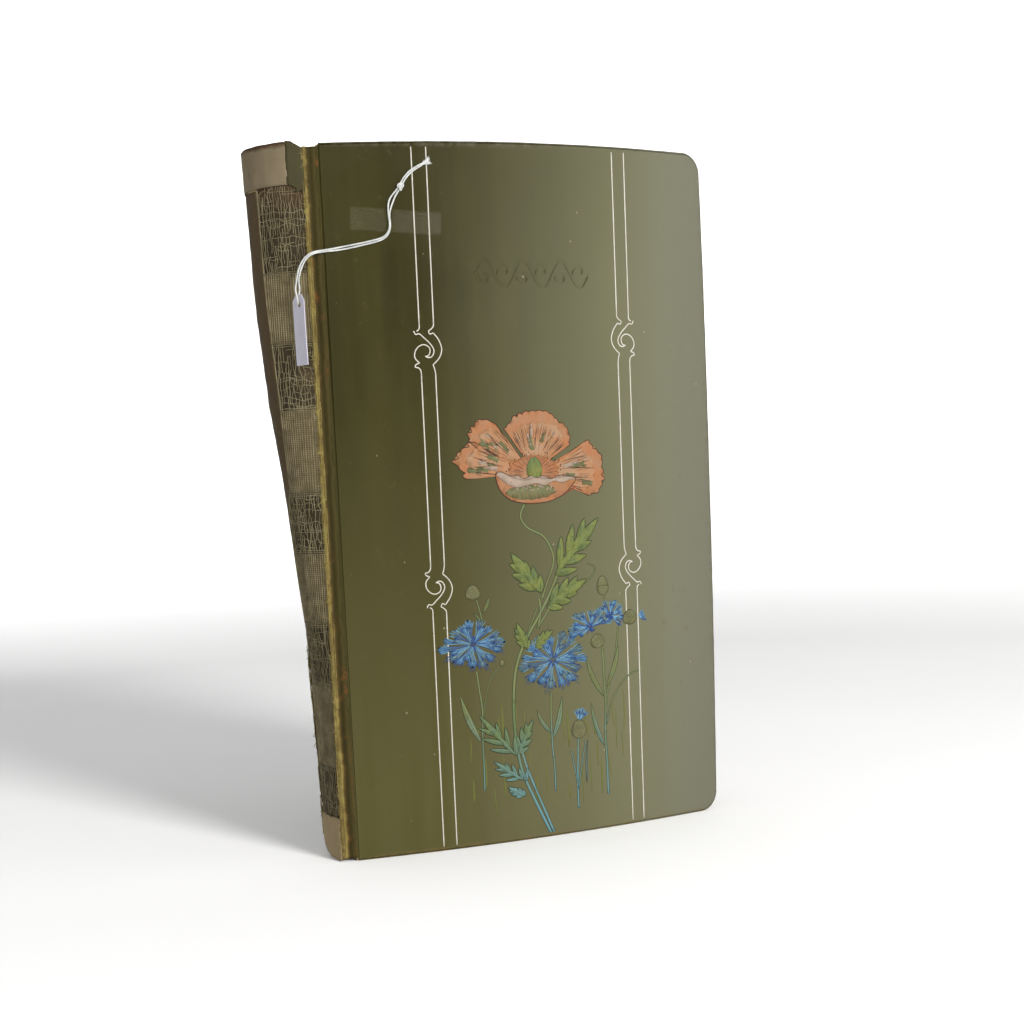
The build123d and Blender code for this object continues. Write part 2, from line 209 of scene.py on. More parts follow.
class Finish:
    """A procedural material, built node by node round one Principled shader."""

    def __init__(self, name, roughness, **fixed):
        self.material = bpy.data.materials.new(name)
        self.material.use_nodes = True
        self.nodes = self.material.node_tree.nodes
        self.links = self.material.node_tree.links
        self.shader = self.nodes["Principled BSDF"]
        self.shader.inputs["Roughness"].default_value = roughness
        for socket, value in fixed.items():
            self.shader.inputs[socket.replace("_", " ")].default_value = value
        self.place = self.nodes.new("ShaderNodeTexCoord").outputs["Object"]
        self.last_normal = None

    def put(self, node, socket, value):
        if isinstance(value, bpy.types.NodeSocket):
            self.links.new(value, node.inputs[socket])
        else:
            node.inputs[socket].default_value = value

    def stretched(self, x, y, z):
        node = self.nodes.new("ShaderNodeMapping")
        self.put(node, "Vector", self.place)
        self.put(node, "Scale", (x, y, z))
        return node.outputs["Vector"]

    def noise(self, scale, detail=3.0, rough=0.55, vector=None):
        node = self.nodes.new("ShaderNodeTexNoise")
        self.put(node, "Vector", vector or self.place)
        self.put(node, "Scale", scale)
        self.put(node, "Detail", detail)
        self.put(node, "Roughness", rough)
        return node.outputs["Fac"]

    def cells(self, scale, vector=None):
        node = self.nodes.new("ShaderNodeTexVoronoi")
        self.put(node, "Vector", vector or self.place)
        self.put(node, "Scale", scale)
        return node.outputs["Distance"]

    def bands(self, direction, scale, distortion=0.0):
        node = self.nodes.new("ShaderNodeTexWave")
        node.bands_direction = direction
        self.put(node, "Vector", self.place)
        self.put(node, "Scale", scale)
        self.put(node, "Distortion", distortion)
        return node.outputs["Fac"]

    def along(self, axis):
        node = self.nodes.new("ShaderNodeSeparateXYZ")
        self.put(node, "Vector", self.place)
        return node.outputs[axis]

    def maths(self, operation, a, b=0.0):
        node = self.nodes.new("ShaderNodeMath")
        node.operation = operation
        self.put(node, 0, a)
        self.put(node, 1, b)
        return node.outputs[0]

    def span(self, value, low, high, to_low=0.0, to_high=1.0):
        """value from low..high to to_low..to_high, held at the ends."""
        node = self.nodes.new("ShaderNodeMapRange")
        for socket, number in zip((0, 1, 2, 3, 4), (value, low, high, to_low, to_high)):
            self.put(node, socket, number)
        return node.outputs[0]

    def distance_from(self, point):
        node = self.nodes.new("ShaderNodeVectorMath")
        node.operation = "DISTANCE"
        self.put(node, 0, self.place)
        self.put(node, 1, point)
        return node.outputs["Value"]

    def ramp(self, factor, *stops):
        node = self.nodes.new("ShaderNodeValToRGB")
        self.put(node, "Fac", factor)
        elements = node.color_ramp.elements
        for index, (place, rgb) in enumerate(stops):
            element = elements[index] if index < 2 else elements.new(place)
            element.position = place
            element.color = linear(rgb)
        return node.outputs["Color"]

    def mix(self, factor, a, b, mode="MIX"):
        node = self.nodes.new("ShaderNodeMix")
        node.data_type = "RGBA"
        node.blend_type = mode
        self.put(node, 0, factor)
        self.put(node, 6, linear(a) if isinstance(a, tuple) else a)
        self.put(node, 7, linear(b) if isinstance(b, tuple) else b)
        return node.outputs[2]

    def paint(self, colour):
        self.put(self.shader, "Base Color", colour)
        return self

    def gloss(self, value):
        self.put(self.shader, "Roughness", value)
        return self

    def bump(self, height, depth_mm, strength=1.0):
        node = self.nodes.new("ShaderNodeBump")
        self.put(node, "Height", height)
        self.put(node, "Distance", depth_mm * MM)
        self.put(node, "Strength", strength)
        if self.last_normal:
            self.put(node, "Normal", self.last_normal)
        self.last_normal = node.outputs["Normal"]
        self.put(self.shader, "Normal", self.last_normal)
        return self

    def weave(self, pitch_mm, depth_mm, first="X", second="Z"):
        scale = WAVE_PERIOD / (pitch_mm * MM)
        crossed = self.maths("MULTIPLY", self.bands(first, scale, 0.6), self.bands(second, scale, 0.6))
        return self.bump(crossed, depth_mm, 0.6)


def cover_cloth_finish():
    """Olive book cloth: mottled, paler to the tail, with a painted grey sheen toward the fore-edge, a painted
    highlight along its fore-edge and head, and rubbed at its foot.
    """
    finish = Finish("olive_cloth", 0.6, Specular_IOR_Level=0.04)
    across, height = finish.along("X"), finish.along("Z")

    def shade(tone, colour, factor, patches=None):
        """The tone turned to a colour by a factor, in patches only if they are given."""
        if patches:
            factor = finish.maths("MULTIPLY", factor, patches)
        return finish.mix(factor, tone, colour)

    # Mottled, paler to the tail, with upright streaks
    tone = finish.ramp(finish.noise(9.0, 4.0), (0.32, (35, 32, 11)), (0.72, (44, 41, 15)))
    tone = shade(tone, (74, 70, 41), finish.span(height, 250.0 * MM, 40.0 * MM, 0.0, 0.8))
    streaks = finish.noise(60.0, 3.0, vector=finish.stretched(1.0, 1.0, 0.09))
    tone = shade(tone, (57, 53, 22), finish.span(streaks, 0.38, 0.72, 0.0, 0.45))
    # Painted sheen: lighter and greyer toward the fore-edge, with painted shade darkening the head away from
    # the fore-edge
    tone = shade(tone, (95, 95, 74), finish.span(across, -60.0 * MM, 92.0 * MM, 0.0, 0.9))
    tone = shade(tone, (83, 82, 75), finish.span(across, 55.0 * MM, 115.0 * MM, 0.0, 0.6))
    inward = finish.span(across, 105.0 * MM, -40.0 * MM)
    tone = shade(tone, (36, 34, 14), finish.span(height, 290.0 * MM, 370.0 * MM, 0.0, 0.4), inward)
    # Rubbed places and pale specks
    tone = shade(tone, (74, 70, 42), finish.span(finish.noise(140.0, 5.0, 0.7), 0.62, 0.72, 0.0, 0.3))
    tone = shade(tone, (120, 116, 92), finish.span(finish.cells(62.0), 0.022, 0.04, 0.8, 0.0))
    # Painted highlight in patches along the rolled fore-edge and head; brown wear at the foot
    fore = finish.span(across, (WIDTH / 2 - 3) * MM, (WIDTH / 2 + 1) * MM)
    foot = finish.span(height, 3.0 * MM, 0.0)
    head = finish.span(height, (HEIGHT - 2) * MM, (HEIGHT + 1.5) * MM)
    patchy = finish.span(finish.noise(220.0, 4.0, 0.7), 0.42, 0.62)
    tone = shade(tone, (80, 77, 64), finish.maths("MAXIMUM", fore, head), patchy)
    tone = shade(tone, (92, 76, 48), foot, patchy)
    finish.paint(tone)
    finish.gloss(finish.span(finish.noise(30.0, 3.0), 0.3, 0.7, 0.5, 0.65))
    finish.weave(0.55, 0.035)
    return finish.bump(finish.noise(700.0, 3.0), 0.03, 0.5)


def joint_cloth_finish():
    """The same cloth in the joint, yellow at its torn edge, rubbed brown on its groove's near side, with
    painted shade in the groove's bottom and under the cover cloth's edge.
    """
    finish = Finish("joint_cloth", 0.75, Specular_IOR_Level=0.05)
    across = finish.maths("SUBTRACT", finish.along("X"), JOINT_X * MM)
    uneven = finish.noise(130.0, 4.0, vector=finish.stretched(0.2, 0.2, 1.0))
    across = finish.maths("ADD", across, finish.span(uneven, 0.3, 0.7, -0.9 * MM, 0.9 * MM))
    wider = finish.span(finish.along("Z"), 110 * MM, 10 * MM, 0.0, 1.6 * MM)
    across = finish.maths("SUBTRACT", across, wider)
    share = finish.span(across, -1.5 * MM, 8.0 * MM)
    # Across the joint: yellow torn edge, rubbed brown, painted shade darkest in the groove's bottom, lighter
    # up its far side, then painted shade again under the cover cloth's edge
    tone = finish.ramp(
        share, (0.0, (108, 97, 54)), (0.24, (118, 106, 58)), (0.33, (84, 66, 34)), (0.43, (56, 48, 25)),
        (0.55, (48, 43, 20)), (0.68, (54, 48, 23)), (0.78, (58, 52, 27)), (0.86, (47, 43, 19)),
        (1.0, (47, 44, 20)))
    streaks = finish.noise(170.0, 4.0, 0.65, finish.stretched(1.0, 1.0, 0.12))
    tone = finish.mix(finish.span(streaks, 0.5, 0.66, 0.0, 0.55), tone, (74, 58, 30))
    rust = finish.span(finish.noise(90.0, 4.0, 0.65), 0.6, 0.68, 0.0, 0.75)
    tone = finish.mix(rust, tone, (88, 56, 28))
    tone = finish.mix(finish.span(finish.noise(400.0, 4.0), 0.4, 0.7, 0.0, 0.4), tone, (48, 42, 24))
    finish.paint(tone)
    finish.bump(finish.noise(900.0, 4.0, vector=finish.stretched(1.0, 1.0, 0.3)), 0.15)
    return finish.weave(0.5, 0.05)


def spine_base_finish():
    """Glued cloth where the mull is whole, darker old paper where it is torn, with ragged borders between."""
    finish = Finish("spine_base", 0.85, Specular_IOR_Level=0.12)
    wander = finish.span(finish.noise(130.0, 5.0, 0.7), 0.25, 0.75, -5.0 * MM, 5.0 * MM)
    height = finish.maths("DIVIDE", finish.maths("ADD", finish.along("Z"), wander), HEIGHT * MM)
    whole, torn = (86, 77, 55), (44, 37, 25)
    stops = [(0.0, torn)]
    for number in range(1, 5):
        low, high = (corner.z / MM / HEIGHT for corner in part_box(f"mull_close_{number}"))
        stops += [(low - 0.004, torn), (low + 0.004, whole), (high - 0.004, whole), (high + 0.004, torn)]
    tone = finish.ramp(height, *stops)
    tone = finish.mix(finish.span(finish.noise(60.0, 5.0, 0.6), 0.52, 0.66, 0.0, 0.55), tone, (70, 56, 38))
    tone = finish.mix(finish.span(finish.noise(380.0, 4.0, 0.7), 0.5, 0.7, 0.0, 0.5), tone, (60, 53, 38))
    tone = finish.mix(finish.span(finish.along("Z"), 344 * MM, 353 * MM, 0.0, 0.7), tone, (62, 45, 30))
    finish.paint(tone)
    return finish.bump(finish.noise(700.0, 4.0, 0.6), 0.12)


def paper_finish(name, light, dark, stain, grain=500.0, depth=0.06, rough=0.85, stretch=(1, 1, 1),
                 rim=None):
    """Uncoated paper or card: grain, cloudy tone, a few stains. rim: (its bottom, its top, colour)."""
    finish = Finish(name, rough, Specular_IOR_Level=0.15)
    cloud = finish.ramp(finish.noise(28.0, 5.0, vector=finish.stretched(*stretch)), (0.3, dark), (0.7, light))
    marks = finish.span(finish.noise(55.0, 6.0, 0.7), 0.58, 0.72, 0.0, 0.6)
    tone = finish.mix(marks, cloud, stain)
    fibre = finish.noise(grain * 2, 3.0, vector=finish.stretched(0.3, 0.3, 1.0))
    tone = finish.mix(finish.span(fibre, 0.5, 0.75, 0.0, 0.25), tone, dark)
    if rim:
        start, end, colour = rim
        wander = finish.span(finish.noise(160.0, 3.0), 0.3, 0.7, -MM, MM)
        height = finish.maths("ADD", finish.along("Z"), wander)
        tone = finish.mix(finish.span(height, start * MM, end * MM), tone, colour)
    finish.paint(tone)
    return finish.bump(finish.noise(grain, 4.0, 0.6), depth)


def thread_finish(name, light, dark, rough=0.9, grain=1800.0):
    """Cotton or linen thread, uneven in tone along its length."""
    finish = Finish(name, rough, Specular_IOR_Level=0.15, Sheen_Weight=0.05)
    tone = finish.ramp(finish.noise(160.0, 4.0, 0.65), (0.35, dark), (0.65, light))
    finish.paint(tone)
    return finish.bump(finish.noise(grain, 3.0), 0.08)


def ink_finish(name, main, other, shadow, scale=220.0, rough=0.55, worn=0.35, under=(58, 55, 31),
               foot=None):
    """Printed colour, mottled and rubbed through to the cloth. foot: (its top, its bottom, colour)."""
    finish = Finish(name, rough, Specular_IOR_Level=0.12)
    tone = finish.ramp(finish.noise(scale, 4.0, 0.6), (0.3, other), (0.62, main))
    patches = finish.span(finish.noise(scale * 0.5, 3.0), 0.5, 0.72, 0.0, 0.5)
    tone = finish.mix(patches, tone, shadow)
    if foot:
        high, low, colour = foot
        tone = finish.mix(finish.span(finish.along("Z"), high * MM, low * MM), tone, colour)
    if worn:
        rubbed = finish.span(finish.noise(480.0, 5.0, 0.7), 0.6, 0.7, 0.0, worn)
        tone = finish.mix(rubbed, tone, under)
    finish.paint(tone)
    return finish.bump(finish.noise(900.0, 2.0), 0.02, 0.5)


# ------------------------------------------------------------------ meshes
def link_mesh(name, verts, faces, finish, body, replaces=(), slot=None, smooth=True, marks=None):
    """A piece from vertices in millimetres. marks gives each face's material, where there are several."""
    mesh = bpy.data.meshes.new(name)
    mesh.from_pydata((np.asarray(verts, float).reshape(-1, 3) * MM).tolist(), [], faces)
    finishes = finish if isinstance(finish, (list, tuple)) else [finish]
    for one in finishes:
        mesh.materials.append(one.material)
    if marks is not None:
        mesh.polygons.foreach_set("material_index", marks)
    mesh.polygons.foreach_set("use_smooth", [smooth] * len(mesh.polygons))
    mesh.validate()
    piece = bpy.data.objects.new(name, mesh)
    bpy.context.scene.collection.objects.link(piece)
    if isinstance(body, str):
        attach(piece, body)
    if replaces:
        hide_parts(*replaces)
    return piece


class Heap:
    """Vertices and faces gathered from many small closed shapes."""

    def __init__(self):
        self.verts = []
        self.faces = []
        self.marks = []
        self.count = 0

    def add(self, verts, faces, mark=0):
        verts = np.asarray(verts, float).reshape(-1, 3)
        self.verts.append(verts)
        start = self.count
        self.faces += [tuple(start + v for v in face) for face in faces]
        self.marks += [mark] * len(faces)
        self.count += len(verts)

    def piece(self, name, finish, body, **more):
        several = isinstance(finish, (list, tuple))
        marks = self.marks if several else None
        return link_mesh(name, np.concatenate(self.verts), self.faces, finish, body, marks=marks, **more)


def slab(top, bottom):
    """A closed solid between two grids of points of the same shape."""
    rows, cols = top.shape[:2]
    verts = np.concatenate([top.reshape(-1, 3), bottom.reshape(-1, 3)])
    base = rows * cols
    faces = []
    for i in range(rows - 1):
        for j in range(cols - 1):
            a = i * cols + j
            faces.append((a, a + 1, a + cols + 1, a + cols))
            faces.append((base + a, base + a + cols, base + a + cols + 1, base + a + 1))
    rim = [i * cols for i in range(rows)]
    rim += [(rows - 1) * cols + j for j in range(1, cols)]
    rim += [i * cols + cols - 1 for i in range(rows - 2, -1, -1)]
    rim += [j for j in range(cols - 2, 0, -1)]
    for a, b in zip(rim, rim[1:] + rim[:1]):
        faces.append((a, b, base + b, base + a))
    return verts, faces


def unit(vectors):
    return vectors / np.maximum(np.linalg.norm(vectors, axis=1, keepdims=True), 1e-9)


def tube(points, radii, sides=6, closed=False):
    """A round tube along points; radii is one number or one per point."""
    p = np.asarray(points, float)
    n = len(p)
    r = np.broadcast_to(np.asarray(radii, float), (n,))
    t = unit(np.roll(p, -1, 0) - np.roll(p, 1, 0) if closed else np.gradient(p, axis=0))
    reference = np.array([0.31, 0.87, 0.38])
    if abs(t[0] @ reference) >= 0.9:
        reference = np.array([1.0, 0, 0])
    a = unit(np.cross(t, reference))
    b = np.cross(t, a)
    turn = np.arange(sides) * 2 * math.pi / sides
    ring = a[:, None] * np.cos(turn)[None, :, None] + b[:, None] * np.sin(turn)[None, :, None]
    verts = (p[:, None] + ring * r[:, None, None]).reshape(-1, 3)
    faces = []
    for i in range(n if closed else n - 1):
        low = i * sides
        high = ((i + 1) % n) * sides
        for k in range(sides):
            m = (k + 1) % sides
            faces.append((low + k, low + m, high + m, high + k))
    if not closed:
        faces.append(tuple(range(sides))[::-1])
        faces.append(tuple((n - 1) * sides + k for k in range(sides)))
    return verts, faces


def cut(bm, axis, at):
    """Cut a flat mesh along the line where one of its coordinates is at."""
    point, normal = [0.0, 0.0, 0.0], [0.0, 0.0, 0.0]
    point[axis] = at
    normal[axis] = 1.0
    bmesh.ops.bisect_plane(bm, geom=bm.verts[:] + bm.edges[:] + bm.faces[:], plane_co=point, plane_no=normal)


def thicken(bm, place):
    """A closed solid from a flat mesh. place gives a point for x, y and 0 or 1 for the two faces."""
    for item in bmesh.ops.extrude_face_region(bm, geom=bm.faces[:])["geom"]:
        if isinstance(item, bmesh.types.BMVert):
            item.co.z = 1.0
    bmesh.ops.recalc_face_normals(bm, faces=bm.faces[:])
    bm.verts.index_update()
    verts = [place(*vert.co) for vert in bm.verts]
    faces = [tuple(vert.index for vert in face.verts) for face in bm.faces]
    bm.free()
    return verts, faces


def wobble(a, b=0.0, c=0.0):
    """Smooth noise between -1 and 1."""
    return noise.noise(Vector((a, b, c)))


def smooth_line(points, per_span=8, closed=False):
    """Catmull-Rom curve through given points."""
    p = np.asarray(points, float)
    if closed:
        p = np.vstack([p[-1:], p, p[:2]])
    else:
        p = np.vstack([2 * p[0] - p[1], p, 2 * p[-1] - p[-2]])
    t = np.linspace(0, 1, per_span, endpoint=False)[:, None]
    out = []
    for a, b, c, d in zip(p, p[1:], p[2:], p[3:]):
        out.append(0.5 * (2 * b + (c - a) * t + (2 * a - 5 * b + 4 * c - d) * t ** 2
                          + (3 * b - a - 3 * c + d) * t ** 3))
    if not closed:
        out.append(p[-2:-1])
    return np.concatenate(out)


# ------------------------------------------------------------------ places on the covers
# A vine pressed into the cloth between the borders, without colour
TOOLING_U = (89.5, 159.0)
TOOLING_Z = 311.5
TOOLING_WAVE = 23.2
TOOLING_RISE = 7.0
TOOLING_DEPTH = 0.5
TOOLING_HALF_W = 0.65
TOOLING_BENDS = 6
TOOLING_BAND = (295, 328)     # heights between which the cloth's mesh is fine
TOOLING_PITCH = 0.62


def tooling_lines():
    """A running vine with a curl in every bend."""
    first, last = TOOLING_U
    u = np.linspace(first, last, 150)
    vine = np.stack([u, TOOLING_Z + TOOLING_RISE * np.sin((u - first) * 2 * math.pi / TOOLING_WAVE)], 1)
    lines = [vine]
    turn = np.linspace(0, 1.6 * math.pi, 26)
    for bend in range(TOOLING_BENDS):
        middle = first + TOOLING_WAVE * (0.25 + bend / 2)
        side = 1 if bend % 2 == 0 else -1
        radius = np.linspace(4.2, 1.2, 26)
        curl = np.stack([middle + radius * np.cos(turn + math.pi * 0.9),
                         TOOLING_Z - side * 1.5 + side * radius * np.sin(turn + math.pi * 0.9) * 0.9], 1)
        lines.append(curl)
    return lines


TOOLING_LINES = tooling_lines()
TOOLING = np.concatenate(TOOLING_LINES)


def tooled(u, z):
    """How deep the tooling presses the cloth, which is not at all well away from it."""
    if not (TOOLING_U[0] - 5 < u < TOOLING_U[1] + 5 and abs(z - TOOLING_Z) < 14):
        return 0.0
    near = np.min((TOOLING[:, 0] - u) ** 2 + (TOOLING[:, 1] - z) ** 2)
    return TOOLING_DEPTH * math.exp(-near / TOOLING_HALF_W ** 2)


def front_swell(u, z):
    """Slow unevenness of the front cloth, outward positive."""
    return 0.28 * wobble(u / 70, z / 70, 1.3) + 0.08 * wobble(u / 17, z / 21, 4.2)


def cover_point(x, depth):
    """Where the bowed front cover is at a place across, depth measured inward from its outer face."""
    r = ARC_R - depth
    a = math.asin(max(-1.0, min(1.0, x / ARC_R)))
    return r * math.sin(a), ARC_Y - r * math.cos(a)


def on_front(u, z, lift=0.0):
    """A point on the front cover's cloth, u from the joint."""
    x, y = cover_point(JOINT_X + u, -lift - front_swell(u, z))
    return x, y, z


def front_inner(u, z, depth):
    """A point on the front cover, depth measured inward from its outer face."""
    x, y = cover_point(JOINT_X + u, depth)
    return x, y, z


def sheet_axes(lean, splay):
    """Along the tail edge, up, and to the front, of a leaning and splayed leaf or cover."""
    along = Vector((math.cos(splay), math.sin(splay), 0))
    up = Vector((0, math.sin(lean), math.cos(lean)))
    up = (up - along * up.dot(along)).normalized()
    return along, up, along.cross(up)


BACK_AXES = sheet_axes(LEAN, math.radians(SPLAY))
BACK_HINGE = Vector((JOINT_X + HINGE_U, JOINT_Y + TAIL_DEPTH - HINGE_DEPTH, 0))


def back_inner(u, z, depth):
    """A point on the back cover, depth measured inward from its outer face."""
    along, up, front = BACK_AXES
    p = BACK_HINGE + along * (u - HINGE_U) + up * (z + 0.12) + front * (depth - HINGE_DEPTH)
    return tuple(p)


def on_back(u, z, lift=0.0):
    """A point on the back cover's cloth."""
    return back_inner(u, z, -lift - 0.2 * wobble(u / 60, z / 60, 8.1))


# ------------------------------------------------------------------ cover cloth
CLOTH_START = 7.3       # spine side of the cloth over a board
EDGE_INSET = 1.0        # where the flat of the cloth starts to roll over the board's edge
TURN_IN = 9.0
CORNER_STEPS = 12
SUPPORT = 0.5           # extra line of the mesh beside the roll, which keeps the flat shaded flat
# Roll of the cloth over a board's edge: how far out from the flat, and how deep
EDGE_ROLL = [(0.42, 0.06), (0.78, 0.32), (1.0, 0.85), (1.03, 1.8), (1.0, 2.75), (0.78, 3.3), (0.4, 3.72),
             (-TURN_IN, 3.86)]


def steps(low, high, pitch):
    """Numbers from low to high at about a pitch."""
    return list(np.linspace(low, high, max(2, int(round((high - low) / pitch)) + 1)))


def cover_skin(name, outer, inner, crowned, fine, finish, body, replaces):
    """Cloth over a board: one skin with a flat, rolled edges and a turn-in, the fore corners rounded."""
    radius = CORNER_R - EDGE_INSET
    corner_u = WIDTH - CORNER_R
    start = CLOTH_START + EDGE_INSET
    columns = [start]
    if fine:
        left, right = TOOLING_U[0] - 3, TOOLING_U[1] + 3
        columns += steps(start + SUPPORT, left, 5.0)[:-1]
        columns += steps(left, right, TOOLING_PITCH)[:-1]
        columns += steps(right, corner_u, 5.0)
    else:
        columns += steps(start + SUPPORT, corner_u, 6.0)
    angles = [0.0] * len(columns)
    for step in range(1, CORNER_STEPS + 1):
        angle = math.pi / 2 * step / CORNER_STEPS
        angles.append(angle)
        columns.append(corner_u + radius * math.sin(angle))
    lower, upper = TOOLING_BAND
    rows = [0.0] + steps(SUPPORT, lower, 5.0)[:-1] + steps(lower, upper, TOOLING_PITCH if fine else 5.0)[:-1]
    rows += steps(upper, HEIGHT - SUPPORT, 4.0) + [HEIGHT]
    shares = [row / HEIGHT for row in rows]

    def stretch(u, z):
        if not crowned:
            return u, z
        head = HEAD_CROWN * (1 - ((u - WIDTH / 2) / (WIDTH / 2)) ** 2) * max(0.0, z / HEIGHT - 0.5) * 2
        fore = FORE_CROWN * (1 - ((z - HEIGHT / 2) / (HEIGHT / 2)) ** 2) * max(0.0, u / WIDTH - 0.6) / 0.4
        return u + fore, z + head

    flat = []
    for u, angle in zip(columns, angles):
        rise = radius * (1 - math.cos(angle))
        low, high = EDGE_INSET + rise, HEIGHT - EDGE_INSET - rise
        for share in shares:
            flat.append((u, low + (high - low) * share))
    n, m = len(columns), len(shares)
    verts = []
    for u, z in flat:
        pressed = tooled(u, z) if fine else 0.0
        verts.append(outer(*stretch(u, z), -pressed))
    faces = [(i * m + j, (i + 1) * m + j, (i + 1) * m + j + 1, i * m + j + 1)
             for i in range(n - 1) for j in range(m - 1)]

    loop = [(i * m, (math.sin(angles[i]), -math.cos(angles[i]))) for i in range(n)]
    loop += [((n - 1) * m + j, (1.0, 0.0)) for j in range(1, m - 1)]
    loop += [(i * m + m - 1, (math.sin(angles[i]), math.cos(angles[i]))) for i in range(n - 1, -1, -1)]
    loop += [(j, (-1.0, 0.0)) for j in range(m - 2, 0, -1)]
    last = [index for index, _ in loop]
    for ring, (out, depth) in enumerate(EDGE_ROLL):
        current = []
        for index, (nu, nz) in loop:
            u, z = flat[index]
            rub = 0.22 * wobble(u / 6, z / 6, 2.0 + ring * 0.3) if 0 < ring < 6 else 0.0
            reach = out + rub * 0.6
            u2, z2 = stretch(u + nu * reach, z + nz * reach)
            shallow, deep = Vector(outer(u2, z2, -depth)), Vector(inner(u2, z2, depth))
            current.append(len(verts))
            verts.append(tuple(shallow.lerp(deep, min(1.0, depth / 1.5))))
        for k in range(len(loop)):
            q = (k + 1) % len(loop)
            faces.append((last[k], last[q], current[q], current[k]))
        last = current
    return link_mesh(name, verts, faces, finish, body, replaces=replaces, slot="cover_cloth")


# Section of the cloth in a joint, from its torn edge to under the cover's cloth: (u, depth)
JOINT_PROFILE = [(-1.0, 1.5), (-0.5, 0.75), (0.2, 0.45), (0.9, 0.75), (1.6, 1.4), (2.4, 1.8), (3.1, 1.85),
                 (3.8, 1.5), (4.4, 1.0), (5.0, 0.68), (5.6, 0.5), (6.2, 0.42), (6.8, 0.36), (7.5, 0.3),
                 (8.6, 0.4)]
TORN_POINTS = 3         # of these, how many follow the torn edge
FREE_POINTS = 11        # and how many are not held down under the cover's cloth
JOINT_T = 0.45
JOINT_BEND = (1.0, 5.4)


def joint_strip(name, surface, finish, replaces, seed, low=1.5):
    """Cloth in the groove between the spine and a board, torn ragged along its spine side."""
    heights = steps(low, HEIGHT - 1.5, 2.0)
    top = np.zeros((len(heights), len(JOINT_PROFILE), 3))
    bottom = np.zeros_like(top)
    for i, z in enumerate(heights):
        ragged = 0.9 * wobble(z / 5, seed) + 0.5 * wobble(z / 1.7, seed + 3)
        sway = 0.3 * wobble(z / 26, seed + 5)
        for j, (u, depth) in enumerate(JOINT_PROFILE):
            torn = max(0.0, 1 - j / TORN_POINTS)
            lumps = 0.22 * wobble(z / 7, u, seed) * (0 < j < FREE_POINTS)
            place = u + ragged * torn + sway * (j < FREE_POINTS)
            top[i, j] = surface(place, z, depth - lumps)
            bottom[i, j] = surface(place, z, depth - lumps + JOINT_T)
    verts, faces = slab(top, bottom)
    piece = link_mesh(name, verts, faces, finish, None, replaces=replaces, slot="cover_cloth")
    start, end = (tuple(c * MM for c in surface(u, HEIGHT / 2, HINGE_DEPTH)) for u in JOINT_BEND)
    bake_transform(piece)
    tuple(start)
    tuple(end)


def fray(name, surface, finish, count, seed, low=4.0, high=377.0):
    """Loose threads along the torn spine side of a joint."""
    rng = random.Random(seed)
    heap = Heap()
    for _ in range(count):
        z = rng.uniform(low, high)
        length = rng.uniform(1.2, 3.6) * (1.7 if rng.random() < 0.08 else 1.0)
        lean = rng.uniform(-1.1, 1.1)
        u = rng.uniform(-0.6, 1.6)
        depth = rng.uniform(0.25, 0.7)
        curl = rng.uniform(-0.5, 0.5)
        points = []
        for step in range(5):
            t = step / 4
            du = -length * t * math.cos(lean) * 0.75
            dz = length * t * math.sin(lean) + curl * t * t
            points.append(surface(u + du, z + dz, depth - 0.15 + 0.5 * t * t * rng.uniform(0.3, 1.0)))
        heap.add(*tube(points, np.linspace(0.17, 0.08, 5), 5))
    for lane in range(4):
        z = low + lane
        while z < high:
            span = rng.uniform(10, 34)
            rows = steps(z, min(z + span, high), 1.6)
            offset = rng.uniform(-1.1, 1.6)
            path = [surface(offset + 0.4 * wobble(row / 6, lane, seed), row,
                            0.35 + 0.2 * wobble(row / 4, lane + 9)) for row in rows]
            heap.add(*tube(path, rng.uniform(0.12, 0.24), 5))
            z += span * rng.uniform(0.6, 1.5)
    return heap.piece(name, finish, "text_block", slot="frayed_cloth")


# ------------------------------------------------------------------ spine
ROUND_Z = [z for z, _ in SPINE_ROUND]
ROUND_SWELL = [swell for _, swell in SPINE_ROUND]


def depth_at(z):
    """How thick the album is at a height."""
    return TAIL_DEPTH + (HEAD_DEPTH - TAIL_DEPTH) * z / HEIGHT


def spine_circle(z):
    """Middle (x, y), radius and half angle of the spine's arc at a height."""
    near = np.clip([z - 9, z - 4, z, z + 4, z + 9], ROUND_Z[0], ROUND_Z[-1])
    swell = float(np.mean(np.interp(near, ROUND_Z, ROUND_SWELL)))
    half = (depth_at(z) - 2 * SPINE_SETBACK) / 2
    radius = (half ** 2 + swell ** 2) / (2 * swell)
    return JOINT_X + radius - swell, JOINT_Y + depth_at(z) / 2, radius, math.asin(min(1.0, half / radius))


def on_spine(z, run, lift=0.0):
    """A point on the spine, run millimetres round it from the front joint."""
    x, y, radius, half = spine_circle(z)
    angle = run / radius - half
    return x - (radius + lift) * math.cos(angle), y + (radius + lift) * math.sin(angle), z


def spine_run(z, depth):
    """How far round the spine a depth below the front cover's face is."""
    _, _, radius, half = spine_circle(z)
    away = (depth - depth_at(z) / 2) / radius
    return radius * (math.asin(max(-1.0, min(1.0, away))) + half)


def full_run(z):
    """How far it is round the whole spine."""
    _, _, radius, half = spine_circle(z)
    return 2 * radius * half


def mull_end(z):
    """How far round the spine the mull reaches."""
    if z <= MULL_FULL_Z:
        return full_run(z)
    depths = [depth for depth, _ in MULL_REAR]
    heights = [height for _, height in MULL_REAR]
    depth = float(np.interp(z, heights, depths))
    return min(full_run(z), spine_run(z, min(depth, depth_at(z) - SPINE_SETBACK)))


def ragged_line(place, fine, seed):
    """Unevenness of a torn edge at a place along it, coarse and fine together."""
    return wobble(place, seed) + 0.5 * wobble(fine, seed)


